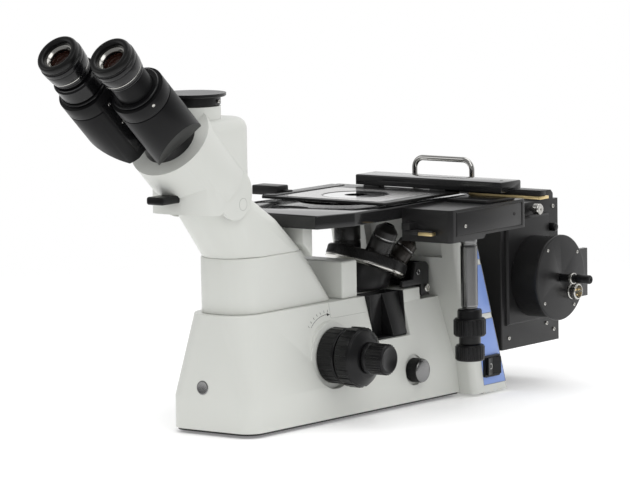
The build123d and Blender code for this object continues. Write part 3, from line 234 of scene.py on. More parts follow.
paints = {
    "lightPaint": finish("lightPaint", (0.61, 0.62, 0.586), 0.40, drift=0.012, bump=0.05, coat=0.12,
                         specular=0.4),
    "seamGrey": finish("seamGrey", (0.33, 0.335, 0.32), 0.6, bump=0.02, drift=0.05, specular=0.2),
    "blackPaint": finish("blackPaint", (0.012, 0.0118, 0.0122), 0.32, grainScale=1500, bump=0.10,
                         drift=0.15, specular=0.32),
    "wingPaint": finish("wingPaint", (0.0055, 0.0055, 0.006), 0.36, grainScale=1600, bump=0.10,
                        drift=0.12, specular=0.16),
    "eyepieceBlack": finish("eyepieceBlack", (0.0045, 0.0045, 0.005), 0.2, bump=0.02, drift=0.1,
                            specular=0.35),
    "eyeRubber": finish("eyeRubber", (0.006, 0.006, 0.006), 0.3, grainScale=2500, bump=0.06,
                        drift=0.2, specular=0.3),
    "knobPlastic": finish("knobPlastic", (0.006, 0.006, 0.0065), 0.3, bump=0.05, drift=0.12,
                          specular=0.26),
    "footRubber": finish("footRubber", (0.012, 0.012, 0.012), 0.8, grainScale=1800, bump=0.3,
                         drift=0.2, specular=0.2),
    "bluePanel": finish("bluePanel", (0.225, 0.335, 0.70), 0.36, bump=0.03, drift=0.03, coat=0.1,
                        specular=0.4),
    "brass": finish("brass", (0.86, 0.68, 0.36), 0.34, 1.0, 500, 0.05, 0.05, brushed=(60, 1, 1)),
    "steel": finish("steel", (0.46, 0.46, 0.47), 0.3, 1.0, 400, 0.05, 0.05, brushed=(1, 1, 40)),
    "darkSteel": finish("darkSteel", (0.24, 0.24, 0.24), 0.24, 1.0, 500, 0.12, 0.1,
                        brushed=(1, 1, 60)),
    "railBlack": finish("railBlack", (0.010, 0.010, 0.011), 0.3, 0.0, 500, 0.05, 0.1,
                        brushed=(40, 1, 1), specular=0.3),
    "holderBlack": finish("holderBlack", (0.009, 0.009, 0.009), 0.24, 0.0, 900, 0.03, 0.1,
                          specular=0.3),
    "plateGrey": finish("plateGrey", (0.50, 0.49, 0.485), 0.22, 0.9, 500, 0.03, 0.04,
                        brushed=(50, 1, 1)),
    "stageBlack": finish("stageBlack", (0.011, 0.011, 0.0115), 0.09, 0.0, 900, 0.0, 0.02, spread=0.0,
                         specular=0.5),
    "polished": finish("polished", (0.72, 0.72, 0.72), 0.07, 1.0, 500, 0.01, 0.03),
    "chrome": finish("chrome", (0.62, 0.61, 0.59), 0.1, 1.0, 500, 0.0, 0.02, spread=0.03),
    "nickel": finish("nickel", (0.60, 0.59, 0.56), 0.2, 1.0, 500, 0.02, 0.04),
    "lensCoat": glassFinish("lensCoat", (0.13, 0.055, 0.04)),
    "clearGlass": glassFinish("clearGlass", (0.95, 0.96, 0.97)),
    "mirror": finish("mirror", (0.9, 0.9, 0.9), 0.02, 1.0, bump=0.0, drift=0.01, spread=0.0),
    "objectiveDark": finish("objectiveDark", (0.014, 0.0135, 0.013), 0.28, 0.0, bump=0.04, drift=0.1,
                            specular=0.35),
    "objectiveTan": finish("objectiveTan", (0.030, 0.026, 0.022), 0.28, 0.4, bump=0.03, drift=0.06),
    "pocketBlack": finish("pocketBlack", (0.010, 0.010, 0.0105), 0.36, bump=0.08, drift=0.15,
                          specular=0.3),
    "markWhite": finish("markWhite", (0.62, 0.62, 0.60), 0.5, bump=0.02, drift=0.03),
}


def paint(names, finishName):
    for name in names.split():
        obj = nodes[name]
        obj.data.materials.clear()
        obj.data.materials.append(paints[finishName])


paint("base_housing upper_body neck_housing head_housing rear_column nosepiece_guard", "lightPaint")
paint("base_plate hinge_plate turret_base focus_carriage drive_box lamp_flange lamp_unit lamp_drum "
      "clip_block camera_port_ring port_cap", "blackPaint")
paint("stage_pillar", "lightPaint")
paint("left_wing right_wing", "wingPaint")
paint("left_eyepiece right_eyepiece diopter_ring", "eyepieceBlack")
paint("selector_lever coarse_focus fine_focus tension_collars upper_stage_knob lower_stage_knob "
      "power_rocker switch_frame", "knobPlastic")
paint("rubber_feet", "footRubber")
paint("side_panels", "bluePanel")
paint("brass_strip lock_lever", "brass")
paint("spindle_sleeve", "darkSteel")
paint("hinge_pin turret_disc lamp_rod", "steel")
paint("x_rail", "railBlack")
paint("x_bar", "stageBlack")
paint("specimen_holder", "holderBlack")
paint("stage_plate", "stageBlack")
paint("stage_insert", "polished")
paint("carry_handle", "chrome")
paint("intensity_knob lamp_connector", "nickel")
paint("left_eye_lens right_eye_lens", "lensCoat")
paint("head_prism condenser_lens lamp_bulb beam_splitter", "clearGlass")
paint("fold_mirror", "mirror")
paint("objective_1 objective_2 objective_4 objective_5", "objectiveDark")
paint("objective_3", "objectiveTan")
paint("filter_pocket", "pocketBlack")
print("finishes on the solids")

# shared making


def mm(*values):
    return Vector(values) / 1000


def soften(bm, width, segments=2, angle=32):
    # round every edge that turns more than the angle
    limit = math.radians(angle)
    sharp = [e for e in bm.edges if len(e.link_faces) == 2 and e.calc_face_angle(0) > limit]
    if sharp and width:
        made = bmesh.ops.bevel(bm, geom=sharp, offset=width, segments=segments, profile=0.5,
                               affect="EDGES", clamp_overlap=True, material=-1)
        for face in made["faces"]:
            face.smooth = True


def toPiece(name, bm, body, paintName, smoothAngle=35, normals=True):
    if normals:
        bmesh.ops.recalc_face_normals(bm, faces=bm.faces)
    mesh = bpy.data.meshes.new(name)
    bm.to_mesh(mesh)
    bm.free()
    mesh.set_sharp_from_angle(angle=math.radians(smoothAngle))
    obj = bpy.data.objects.new(name, mesh)
    bpy.context.scene.collection.objects.link(obj)
    mesh.materials.append(paints[paintName])
    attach(obj, body)
    return obj


def spun(name, profile, origin, axis, body, paintName, segments=72, soft=0.0003, closed=False,
         steps=2):
    # turn (radius, distance) pairs, in millimetres, about an axis
    way = Vector(axis).normalized()
    across = way.orthogonal().normalized()
    bm = bmesh.new()
    verts = [bm.verts.new(Vector(origin) + across * r / 1000 + way * t / 1000) for r, t in profile]
    pairs = list(zip(verts, verts[1:]))
    if closed:
        pairs.append((verts[-1], verts[0]))
    edges = [bm.edges.new(pair) for pair in pairs]
    bmesh.ops.spin(bm, geom=verts + edges, cent=origin, axis=way, angle=math.tau, steps=segments,
                   use_merge=True)
    bmesh.ops.remove_doubles(bm, verts=bm.verts, dist=0.00001)
    bmesh.ops.recalc_face_normals(bm, faces=bm.faces)
    for face in bm.faces:
        face.smooth = abs(face.normal.dot(way)) < 0.999
    soften(bm, soft, steps)
    return toPiece(name, bm, body, paintName)


def slab(name, low, high, body, paintName, soft=0.0006, segments=2):
    # a block between two corners, in millimetres, with rounded edges
    bm = bmesh.new()
    bmesh.ops.create_cube(bm, size=1)
    span = Vector(high) - Vector(low)
    bmesh.ops.scale(bm, vec=span / 1000, verts=bm.verts)
    bmesh.ops.translate(bm, vec=(Vector(high) + Vector(low)) / 2000, verts=bm.verts)
    soften(bm, soft, segments)
    return toPiece(name, bm, body, paintName)


def plate(name, outline, thickness, body, paintName, normal, soft=0.0005):
    # a flat outline of points, in millimetres, thickened along the given normal
    bm = bmesh.new()
    face = bm.faces.new([bm.verts.new(mm(*p)) for p in outline])
    face.normal_update()
    way = Vector(normal).normalized()
    grown = bmesh.ops.extrude_face_region(bm, geom=[face])
    moved = [g for g in grown["geom"] if isinstance(g, bmesh.types.BMVert)]
    bmesh.ops.translate(bm, vec=way * thickness / 1000, verts=moved)
    soften(bm, soft)
    return toPiece(name, bm, body, paintName)


def line(name, points, radius, body, paintName, cyclic=False):
    # a thin raised or inlaid line through points, in millimetres
    curve = bpy.data.curves.new(name, "CURVE")
    curve.dimensions = "3D"
    curve.bevel_depth = radius / 1000
    curve.bevel_resolution = 1
    curve.use_fill_caps = True
    spline = curve.splines.new("POLY")
    spline.points.add(len(points) - 1)
    for spot, p in zip(spline.points, points):
        spot.co = (*mm(*p), 1)
    spline.use_cyclic_u = cyclic
    holder = bpy.data.objects.new(name + "Curve", curve)
    bpy.context.scene.collection.objects.link(holder)
    bpy.context.view_layer.update()
    mesh = bpy.data.meshes.new_from_object(holder.evaluated_get(bpy.context.evaluated_depsgraph_get()))
    bpy.data.objects.remove(holder)
    bpy.data.curves.remove(curve)
    bm = bmesh.new()
    bm.from_mesh(mesh)
    bpy.data.meshes.remove(mesh)
    bmesh.ops.remove_doubles(bm, verts=bm.verts, dist=0.000001)
    for face in bm.faces:
        face.smooth = True
    return toPiece(name, bm, body, paintName)


def dressed(node, name, body, paintName, soft, segments=3, angle=30, smoothAngle=32, rounds=()):
    # a copy of a solid with its edges rounded, which stands for the solid; rounds names corners
    # along X by their Y, Z and width
    bm = bmesh.new()
    bm.from_mesh(nodes[node].data)
    bmesh.ops.remove_doubles(bm, verts=bm.verts, dist=0.000005)
    nearlyFlat = math.radians(1.5)
    bmesh.ops.dissolve_limit(bm, angle_limit=nearlyFlat, use_dissolve_boundaries=False,
                             verts=bm.verts, edges=bm.edges)
    for y, z, width in rounds:
        spot = Vector((y, z))
        corner = [e for e in bm.edges if all((v.co.yz - spot).length < 0.0002 for v in e.verts)]
        bmesh.ops.bevel(bm, geom=corner, offset=width, segments=8, profile=0.5, affect="EDGES",
                        clamp_overlap=True, material=-1)
    for face in bm.faces:
        turns = [e.calc_face_angle(0) for e in face.edges if len(e.link_faces) == 2]
        face.smooth = any(nearlyFlat < turned < math.radians(angle) for turned in turns)
    soften(bm, soft, segments, angle)
    piece = toPiece(name, bm, body, paintName, smoothAngle, normals=False)
    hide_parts(node)
    return piece


def knurl(name, origin, axis, radius, low, high, count, depth, width, body, paintName):
    # a ring of short ribs round a rim
    way = Vector(axis).normalized()
    across = way.orthogonal().normalized()
    bm = bmesh.new()
    bmesh.ops.create_cube(bm, size=1)
    bmesh.ops.scale(bm, vec=(depth / 1000, width / 1000, (high - low) / 1000), verts=bm.verts)
    soften(bm, min(depth, width) * 0.0003, 1)
    bmesh.ops.translate(bm, vec=(radius / 1000, 0, (high + low) / 2000), verts=bm.verts)
    start = list(bm.verts) + list(bm.edges) + list(bm.faces)
    bmesh.ops.spin(bm, geom=start, cent=(0, 0, 0), axis=(0, 0, 1), angle=math.tau * (count - 1) / count,
                   steps=count - 1, use_duplicate=True)
    place = Matrix((across, way.cross(across), way)).transposed().to_4x4()
    place.translation = Vector(origin)
    bmesh.ops.transform(bm, matrix=place, verts=bm.verts)
    return toPiece(name, bm, body, paintName)


def screw(name, origin, axis, body, paintName="nickel", radius=2.2, height=1.2):
    # a low round head with a round socket
    way = Vector(axis).normalized()
    profile = [(0, -0.6), (radius, -0.6), (radius, height * 0.6), (radius * 0.8, height),
               (radius * 0.5, height), (radius * 0.45, height * 0.2), (0, height * 0.2)]
    return spun(name, profile, mm(*origin), way, body, paintName, segments=24, soft=0.0001, steps=1)


# where the slanted head stands
head = {"tilt": 42.0, "swing": 28.4, "radius": 37.5, "eyeY": -425.0, "eyeZ": 399.5}
slant = math.radians(head["tilt"])
downTube = Vector((0, math.cos(slant), -math.sin(slant)))
upHead = Vector((0, math.sin(slant), math.cos(slant)))
swingRest = math.radians(head["swing"])
hingeStart = mm(0, head["eyeY"], head["eyeZ"]) + upHead * head["radius"] * math.sin(swingRest) / 1000


def outwardOf(side):
    return Vector((side * math.cos(swingRest), 0, 0)) - upHead * math.sin(swingRest)


def tubeSpot(side, distance):
    return hingeStart + downTube * distance / 1000 + outwardOf(side) * head["radius"] / 1000


# stand
standSoft = {"base": 0.0022, "body": 0.0014, "head": 0.002, "column": 0.0018}
dressed("base_housing", "baseShell", "stand", "lightPaint", standSoft["base"], 4, 24)
dressed("upper_body", "upperBodyShell", "stand", "lightPaint", standSoft["body"])
dressed("neck_housing", "neckShell", "stand", "lightPaint", standSoft["body"])
dressed("head_housing", "headShell", "stand", "lightPaint", standSoft["head"], 4, 28)
dressed("rear_column", "columnShell", "stand", "lightPaint", standSoft["column"])
dressed("nosepiece_guard", "guardShell", "stand", "lightPaint", 0.002, 4)
dressed("stage_pillar", "pillarShell", "stand", "lightPaint", 0.0015)
dressed("filter_pocket", "pocketLiner", "stand", "pocketBlack", 0.0006, 2)
dressed("drive_box", "driveCase", "stand", "blackPaint", 0.0012)
dressed("lamp_unit", "lampCase", "stand", "blackPaint", 0.001)
dressed("lamp_drum", "lampDrumShell", "stand", "blackPaint", 0.0005, 2)
dressed("lamp_flange", "lampFlangeShell", "stand", "blackPaint", 0.0006, 2)
dressed("stage_plate", "stageTop", "stand", "stageBlack", 0.0008)
dressed("focus_carriage", "carriageBracket", "carriage", "blackPaint", 0.0008,
        rounds=((0.078, 0.148, 0.0075), (0.070, 0.148, 0.004)))
dressed("turret_base", "turretBody", "carriage", "blackPaint", 0.0006, 2)
dressed("side_panels", "bluePanels", "stand", "bluePanel", 0.0006, 2)
print("stand dressed")

# small things on the stand
leverLow, leverHigh = (Vector(corner) * 1000 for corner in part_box("selector_lever"))
leverSet = {"half": 10.5, "front": 6.0, "rear": 4.0}
leverBar = slab("selectorKnob", (-leverSet["half"], leverLow.y + leverSet["front"], leverLow.z),
                (leverSet["half"], leverHigh.y - leverSet["rear"], leverHigh.z), "selector",
                "knobPlastic", 0.0024, 4)
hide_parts("selector_lever")
plugSet = {"x": 38, "upper": (-274.8, 289.4), "lower": (-224.9, 236.0)}
for label in ("upper", "lower"):
    spot = mm(plugSet["x"], *plugSet[label])
    spun(label + "HeadPlug", [(0, -0.1), (6.0, -0.1), (6.0, 0.05), (5.6, 0.12), (0, 0.12)], spot,
         (1, 0, 0), "stand", "lightPaint", 40, 0)
    spun(label + "PlugSeam", [(6.0, -0.1), (6.35, -0.1), (6.35, 0.10), (6.0, 0.10)], spot,
         (1, 0, 0), "stand", "seamGrey", 40, 0, True)
screw("portSetScrew", (29.2, -250.4, 341.2), (0.98, 0.18, 0), "stand", "nickel", 1.9, 1.0)
baseSet = {"front": (-236.5, -231.0), "rear": 130.0, "low": (53.0, 64.0), "high": (37.5, 50.0),
           "waist": 38.0, "top": 122.0}


def baseSide(y, z):
    # half width of the base where its side slopes in
    share = min(1.0, max(0.0, (z - baseSet["waist"]) / (baseSet["top"] - baseSet["waist"])))
    low = baseSet["low"][0] + (baseSet["low"][1] - baseSet["low"][0]) * (
        (y - baseSet["front"][0]) / (baseSet["rear"] - baseSet["front"][0]))
    high = baseSet["high"][0] + (baseSet["high"][1] - baseSet["high"][0]) * (
        (y - baseSet["front"][1]) / (baseSet["rear"] - baseSet["front"][1]))
    return low + (high - low) * share


def onBase(y, z, out=0.02):
    return (baseSide(y, z) + out, y, z)


line("stepPanelSeam", [onBase(-91, z) for z in (121.5, 117, 113, 109, 107)]
     + [onBase(y, 106) for y in (-89, -75, -60, -45, -33)], 0.16, "stand", "seamGrey")
knobArc = {"y": -97.5, "z": 69.5, "radius": 41.0}
line("tensionArc", [onBase(knobArc["y"] - knobArc["radius"] * math.cos(math.radians(a)),
                           knobArc["z"] + knobArc["radius"] * math.sin(math.radians(a)))
                    for a in range(48, 97, 4)], 0.22, "stand", "pocketBlack")
for index, turnBy in enumerate(range(46, 99, 8)):
    reach = [knobArc["radius"] + step for step in (2.0, 4.6)]
    line(f"tensionTick{index + 1}", [
        onBase(knobArc["y"] - r * math.cos(math.radians(turnBy)),
               knobArc["z"] + r * math.sin(math.radians(turnBy))) for r in reach
    ], 0.22, "stand", "pocketBlack")
plate("tensionArrow", [onBase(knobArc["y"] + y, knobArc["z"] + z, 0.05)
                       for y, z in ((1.0, 42.6), (1.0, 39.4), (6.0, 40.6))],
      0.1, "stand", "pocketBlack", (1, 0, 0), 0)
discSet = {"place": (-9.5, -235.85, 48.5), "axis": (0, -1, 0.065)}
spun("frontBadge", [(0, -0.3), (7.2, -0.3), (7.2, 0.3), (6.8, 0.6), (6.0, 0.65), (5.7, 0.4), (0, 0.4)],
     mm(*discSet["place"]), discSet["axis"], "stand", "darkSteel", 64, 0.0001)
slab("nicheDeckPiece", (36.5, 31.0, 108.6), (49.6, 60.5, 122.3), "stand", "lightPaint", 0.0014, 3)
pocketSet = {"edgeTop": -1.5, "edgeLow": 8.0, "rearTop": 27.0, "rearLow": 32.0, "frontTop": -28.0,
             "frontLow": -22.5, "low": 77.0, "high": 121.9, "deep": 16.0, "inset": 0.5}
facetTops = [(baseSide(0, pocketSet["high"]) - pocketSet["inset"], y, pocketSet["high"])
             for y in (pocketSet["edgeTop"], pocketSet["rearTop"])]
facetLows = [(baseSide(0, pocketSet["low"]) - pocketSet["inset"], y, pocketSet["low"])
             for y in (pocketSet["rearLow"], pocketSet["edgeLow"])]
plate("pocketFlushFacet", facetTops + facetLows, 1.2, "stand", "pocketBlack", (-1, 0, -0.3), 0.0003)
backLow = facetLows[1][0] - pocketSet["deep"]
backEdge = (backLow, pocketSet["edgeLow"], pocketSet["low"])
backFront = (backLow, pocketSet["frontLow"], pocketSet["low"])
topFront = (facetTops[0][0] - 0.3, pocketSet["frontTop"], pocketSet["high"])
plate("pocketEdgeFacet", [facetTops[0], facetLows[1], backEdge], 0.8, "stand", "pocketBlack",
      (0, 1, 0.15), 0.0001)
plate("pocketSlopeFacet", [topFront, facetTops[0], backEdge, backFront], 0.8, "stand", "pocketBlack",
      (-1, 0, -0.3), 0.0001)
spun("bracketRingScrew", [(1.6, -0.3), (3.2, -0.3), (3.2, 0.9), (2.6, 1.2), (2.0, 1.2), (1.6, 0.8)],
     mm(49, 58, 138), (1, 0, 0), "carriage", "darkSteel", 32, 0.0001, True)
spun("bracketBolt", [(0, -0.3), (4.4, -0.3), (4.4, 2.0), (3.8, 2.8), (2.2, 2.8), (2.0, 1.4), (0, 1.4)],
     mm(49, 72.5, 120), (1, 0, 0), "carriage", "nickel", 32, 0.0002)
panelSet = {"out": 83.02, "foot": 3, "rise": 200, "front": (112.0, 38.0, 18.0),
            "rear": (176.5, 67.5, 4.5), "bands": ((11.0, 82.0), (88.0, 141.0), (147.0, 178.0))}
for side in (1, -1):
    out = side * panelSet["out"]
    for index, band in enumerate(panelSet["bands"]):
        low, high = band
        heights = [z - panelSet["foot"] for z in band]
        start, slope, inset = panelSet["front"]
        front = [start - slope * height / panelSet["rise"] + inset for height in heights]
        start, slope, inset = panelSet["rear"]
        rear = [start - slope * height / panelSet["rise"] - inset for height in heights]
        line(f"panelEdge{'Left' if side < 0 else 'Right'}{index + 1}", [
            (out, front[0], low), (out, rear[0], low), (out, rear[1], high), (out, front[1], high)],
            0.3, "stand", "seamGrey", cyclic=True)
line("rockerOnMark", [(87.0, 146.5, 27.5), (87.0, 146.5, 34.5)], 0.35, "rocker", "markWhite")
offTurns = [math.radians(a) for a in range(0, 360, 24)]
line("rockerOffMark", [(87.6, 135.5 + 2.2 * math.cos(a), 31 + 2.9 * math.sin(a)) for a in offTurns],
     0.3, "rocker", "markWhite", cyclic=True)
for side in (1, -1):
    spun(f"handleFoot{'Left' if side < 0 else 'Right'}", [
        (3.05, 0), (6.0, 0), (6.0, 1.6), (5.0, 2.6), (3.05, 2.8)], mm(side * 37.5, 176, 198), (0, 0, 1),
        "stand", "chrome", 40, 0.0002, True)
print("small things on the stand done")

# eyepieces and wings
eyepieceSet = {"segments": 96}
for label, side, body in (("right", 1, "right_wing_body"), ("left", -1, "left_wing_body")):
    top = tubeSpot(side, 0)
    spun(label + "Eyecup", [
        (15.0, 2.8), (15.8, 1.2), (17.2, 0.4), (19.6, 0.2), (21.2, 1.0), (22.0, 2.6), (22.4, 5.6),
        (21.9, 6.2), (21.9, 7.0), (22.4, 7.4), (22.4, 8.2), (15.6, 8.2), (15.0, 6.0),
    ], top, downTube, body, "eyeRubber", eyepieceSet["segments"], 0.0004, True)
    barrel = spun(label + "EyeBarrel", [
        (13.2, 6.4), (13.8, 8.3), (22.0, 8.3), (23.0, 9.2), (22.9, 13.0), (22.5, 13.3), (22.5, 13.9),
        (22.8, 14.2), (21.9, 24.0), (21.0, 25.4), (21.0, 28.2), (20.0, 28.6), (20.0, 29.8),
        (20.4, 30.1), (20.4, 31.4), (15.0, 31.5), (15.0, 72.0), (11.5, 72.0), (11.5, 28.0), (13.2, 20.0),
    ], top, downTube, body, "eyepieceBlack", eyepieceSet["segments"], 0.0002, True)
    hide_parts(label + "_eyepiece")
    dressed(label + "_wing", label + "WingShell", body, "wingPaint", 0.0007, 2, 30)
    spun(label + "LensRing", [(11.2, 8.3), (13.4, 6.0), (15.2, 5.8), (15.2, 9.4), (11.2, 9.4)], top,
         downTube, body, "nickel", 64, 0.0001, True)
    spun(label + "BarrelRing", [(20.6, 24.7), (21.7, 24.7), (21.7, 25.3), (20.6, 25.3)], top, downTube,
         body, "nickel", eyepieceSet["segments"], 0, True)
    spun(label + "TubeCollar", [
        (19.05, 52.4), (24.4, 52.4), (25.2, 53.2), (25.2, 56.1), (19.05, 56.1),
    ], top, downTube, body, "eyepieceBlack", eyepieceSet["segments"], 0.0002, True)
    screw(label + "WingScrew", (tubeSpot(side, 60.5) + outwardOf(side) * 0.0284) * 1000,
          outwardOf(side), body, radius=1.7, height=0.5)
wingSet = {"flatTurn": 15.5, "flatOut": 0.0265, "lineOut": 0.02842, "screws": (71.4, 99.4),
           "lineAt": 68.4, "plateEnds": (66, 138), "plateHalf": 0.0085}
flatTurn = math.radians(head["swing"] + wingSet["flatTurn"])
for label, side, body in (("right", 1, "right_wing_body"), ("left", -1, "left_wing_body")):
    inward = -outwardOf(side)
    across = outwardOf(side).cross(downTube) * side
    flatWay = inward * math.cos(flatTurn) - across * math.sin(flatTurn)
    along = flatWay.cross(downTube).normalized()
    for index, distance in enumerate(wingSet["screws"]):
        spot = tubeSpot(side, distance) + flatWay * wingSet["flatOut"]
        screw(f"{label}FlatScrew{index + 1}", spot * 1000, flatWay, body, radius=1.5, height=0.4)
    lineTurns = [math.radians(turned) for turned in range(40, 321, 8)]
    lineRays = [(flatWay * math.cos(a) + along * math.sin(a)) * wingSet["lineOut"] for a in lineTurns]
    lineSpot = tubeSpot(side, wingSet["lineAt"])
    line(label + "WingLine", [tuple((lineSpot + ray) * 1000) for ray in lineRays], 0.2, body, "pocketBlack")
    near, far = wingSet["plateEnds"]
    half = wingSet["plateHalf"]
    plateSpots = [tubeSpot(side, t) + flatWay * wingSet["flatOut"] + along * w for t, w in
                  ((near, -half), (near, half), (far, half), (far, -half))]
    plate(label + "FlatPlate", [tuple(spot * 1000) for spot in plateSpots], 0.12, body,
          "eyepieceBlack", flatWay, 0.0001)
knurl("diopterRibs", tubeSpot(-1, 34.5), downTube, 23.2, 9.5, 15.2, 72, 0.3, 0.9, "diopter",
      "eyepieceBlack")
knurl("diopterMarks", tubeSpot(-1, 34.5), downTube, 22.55, 3.0, 6.0, 24, 0.12, 0.35, "diopter",
      "markWhite")
print("eyepieces and wings done")

# nosepiece
turret = {"lean": 21.0, "heading": 18.0, "offset": 24.3, "height": 150.5, "seat": 26.0, "places": 5}
leanTurn = math.radians(turret["lean"])
headTurn = math.radians(turret["heading"])
turretWay = Vector((math.sin(leanTurn) * math.sin(headTurn), math.sin(leanTurn) * math.cos(headTurn),
                    math.cos(leanTurn)))
turretSpot = mm(math.sin(headTurn) * turret["offset"], math.cos(headTurn) * turret["offset"],
                turret["height"])
discRim = spun("turretRimShell", [
    (6.05, -3.2), (42.6, -3.2), (43.2, -2.6), (43.2, 6.6), (42.2, 7.8), (38.0, 8.4), (36.0, 5.0),
    (0, 5.0), (0, 0), (6.05, 0),
], turretSpot, turretWay, "turret", "objectiveDark", 120, 0.0003)
spun("turretEdgeRing", [
    (6.05, -7.6), (37.0, -7.6), (40.4, -7.5), (43.2, -5.4), (43.4, -3.3), (6.05, -3.3),
], turretSpot, turretWay, "turret", "nickel", 120, 0.0003, True)
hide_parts("turret_disc")
knurl("turretKnurl", turretSpot, turretWay, 43.2, -2.4, 6.2, 150, 0.5, 0.95, "turret", "knobPlastic")
print("nosepiece done")
# objectives
objectiveSet = {"lengths": (48.0, 42.0, 38.0, 33.0, 44.0), "radii": (14.0, 13.0, 11.5, 11.0, 13.0),
                "finishes": ("objectiveDark", "objectiveDark", "objectiveTan", "nickel",
                             "objectiveDark")}
turretSide = Vector((math.cos(headTurn), -math.sin(headTurn), 0))
for index in range(turret["places"]):
    turnBy = math.tau * index / turret["places"]
    toward = turretSide * math.sin(turnBy) - turretWay.cross(turretSide) * math.cos(turnBy)
    way = turretWay * math.cos(leanTurn) + toward * math.sin(leanTurn)
    foot = turretSpot + turretWay * 0.001 + toward * turret["seat"] / 1000
    long, wide = objectiveSet["lengths"][index], objectiveSet["radii"][index]
    body = spun(f"objectiveBarrel{index + 1}", [
        (0, -5.9), (9.85, -5.9), (9.85, 0), (wide - 1.4, 0.1), (wide - 1.4, 3.0), (wide, 3.6),
        (wide, long * 0.28), (wide - 0.5, long * 0.29), (wide - 0.5, long * 0.31), (wide, long * 0.32),
        (wide, long * 0.60), (wide - 0.8, long * 0.62), (wide - 0.8, long * 0.84),
        (wide * 0.76, long * 0.90), (wide * 0.46, long * 0.98), (wide * 0.43, long),
        (wide * 0.24, long), (wide * 0.20, long - 1.2), (0, long - 1.4),
    ], foot, way, "turret", objectiveSet["finishes"][index], 64, 0.00025)
    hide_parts(f"objective_{index + 1}")
    knurl(f"objectiveGrip{index + 1}", foot, way, wide, 4.4, long * 0.24, 48, 0.5, 0.9, "turret",
          "knobPlastic")
    spun(f"objectiveBand{index + 1}", [(wide - 0.9, long * 0.65), (wide - 0.55, long * 0.65),
         (wide - 0.55, long * 0.68), (wide - 0.9, long * 0.68)], foot, way, "turret", "darkSteel", 64, 0,
         True)
print("objectives done")

# focus knobs
knobSet = {"y": -97.5, "z": 69.5, "coarseAt": 73.3, "fineAt": 98.3, "collarAt": 51.3, "coarseRibs": 18,
           "fineRibs": 30, "collarRibs": 26}
for label, side in (("right", 1), ("left", -1)):
    spot = mm(side * knobSet["coarseAt"], knobSet["y"], knobSet["z"])
    axis = (side, 0, 0)
    coarse = spun(label + "CoarseKnob", [
        (6.0, 0.2), (26.5, 0.2), (29.0, 1.2), (30.0, 2.6), (30.0, 17.0), (29.4, 18.4), (28.4, 18.9),
        (28.2, 19.5), (21.0, 23.9), (19.8, 24.5), (17.2, 24.7), (6.0, 24.7),
    ], spot, axis, "coarse", "knobPlastic", 96, 0.0004, True)
    if side > 0:
        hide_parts("coarse_focus")
    knurl(label + "CoarseRibs", spot, axis, 29.9, 2.8, 17.0, knobSet["coarseRibs"], 2.0, 6.6, "coarse",
          "knobPlastic")
    fineSpot = mm(side * knobSet["fineAt"], knobSet["y"], knobSet["z"])
    fine = spun(label + "FineKnob", [
        (0, 0.1), (15.6, 0.1), (16.4, 1.0), (16.4, 4.6), (15.6, 5.2), (15.6, 6.0), (15.2, 23.4),
        (14.2, 25.2), (12.8, 25.6), (11.8, 25.2), (9.0, 23.9), (5.0, 22.9), (0, 22.6),
    ], fineSpot, axis, "fine", "knobPlastic", 96, 0.0003)
    if side > 0:
        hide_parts("fine_focus")
    knurl(label + "FineRibs", fineSpot, axis, 15.5, 6.4, 23.6, knobSet["fineRibs"], 1.0, 1.7, "fine",
          "knobPlastic")
    collarSpot = mm(side * knobSet["collarAt"], knobSet["y"], knobSet["z"])
    collar = spun(label + "TensionCollar", [
        (6.1, 0.2), (27.2, 0.2), (28.4, 1.2), (28.4, 19.4), (27.6, 20.6), (24.0, 21.0), (24.0, 21.5),
        (6.1, 21.5),
    ], collarSpot, axis, "tension", "knobPlastic", 96, 0.0003, True)
    if side > 0:
        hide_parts("tension_collars")
    knurl(label + "CollarRibs", collarSpot, axis, 28.4, 2.0, 19.0, knobSet["collarRibs"], 0.9, 4.6,
          "tension", "knobPlastic")
spun("focusShaftCore", [(0, -92), (5.9, -92), (5.9, 92), (0, 92)], mm(0, knobSet["y"], knobSet["z"]),
     (1, 0, 0), "coarse", "steel", 32, 0)
dimmer = {"x": 57.5, "y": 34.0, "z": 38.0}
dimmerSpot = mm(dimmer["x"], dimmer["y"], dimmer["z"])
dimmerKnob = spun("intensityKnobTurned", [
    (0, -11.5), (2.9, -11.5), (2.9, 0.2), (12.1, 0.2), (12.5, 0.7), (12.5, 12.6), (12.1, 13.3),
    (0, 13.3),
], dimmerSpot, (1, 0, 0), "dimmer", "knobPlastic", 72, 0.0002)
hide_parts("intensity_knob")
spun("intensityFace", [(0, 13.0), (12.2, 13.0), (12.3, 13.6), (11.6, 14.6), (8.0, 15.2), (0, 15.5)],
     dimmerSpot, (1, 0, 0), "dimmer", "darkSteel", 72, 0.0002)
knurl("intensityKnurl", dimmerSpot, (1, 0, 0), 12.45, 1.4, 12.0, 48, 0.5,
      0.9, "dimmer", "knobPlastic")
print("focus knobs done")

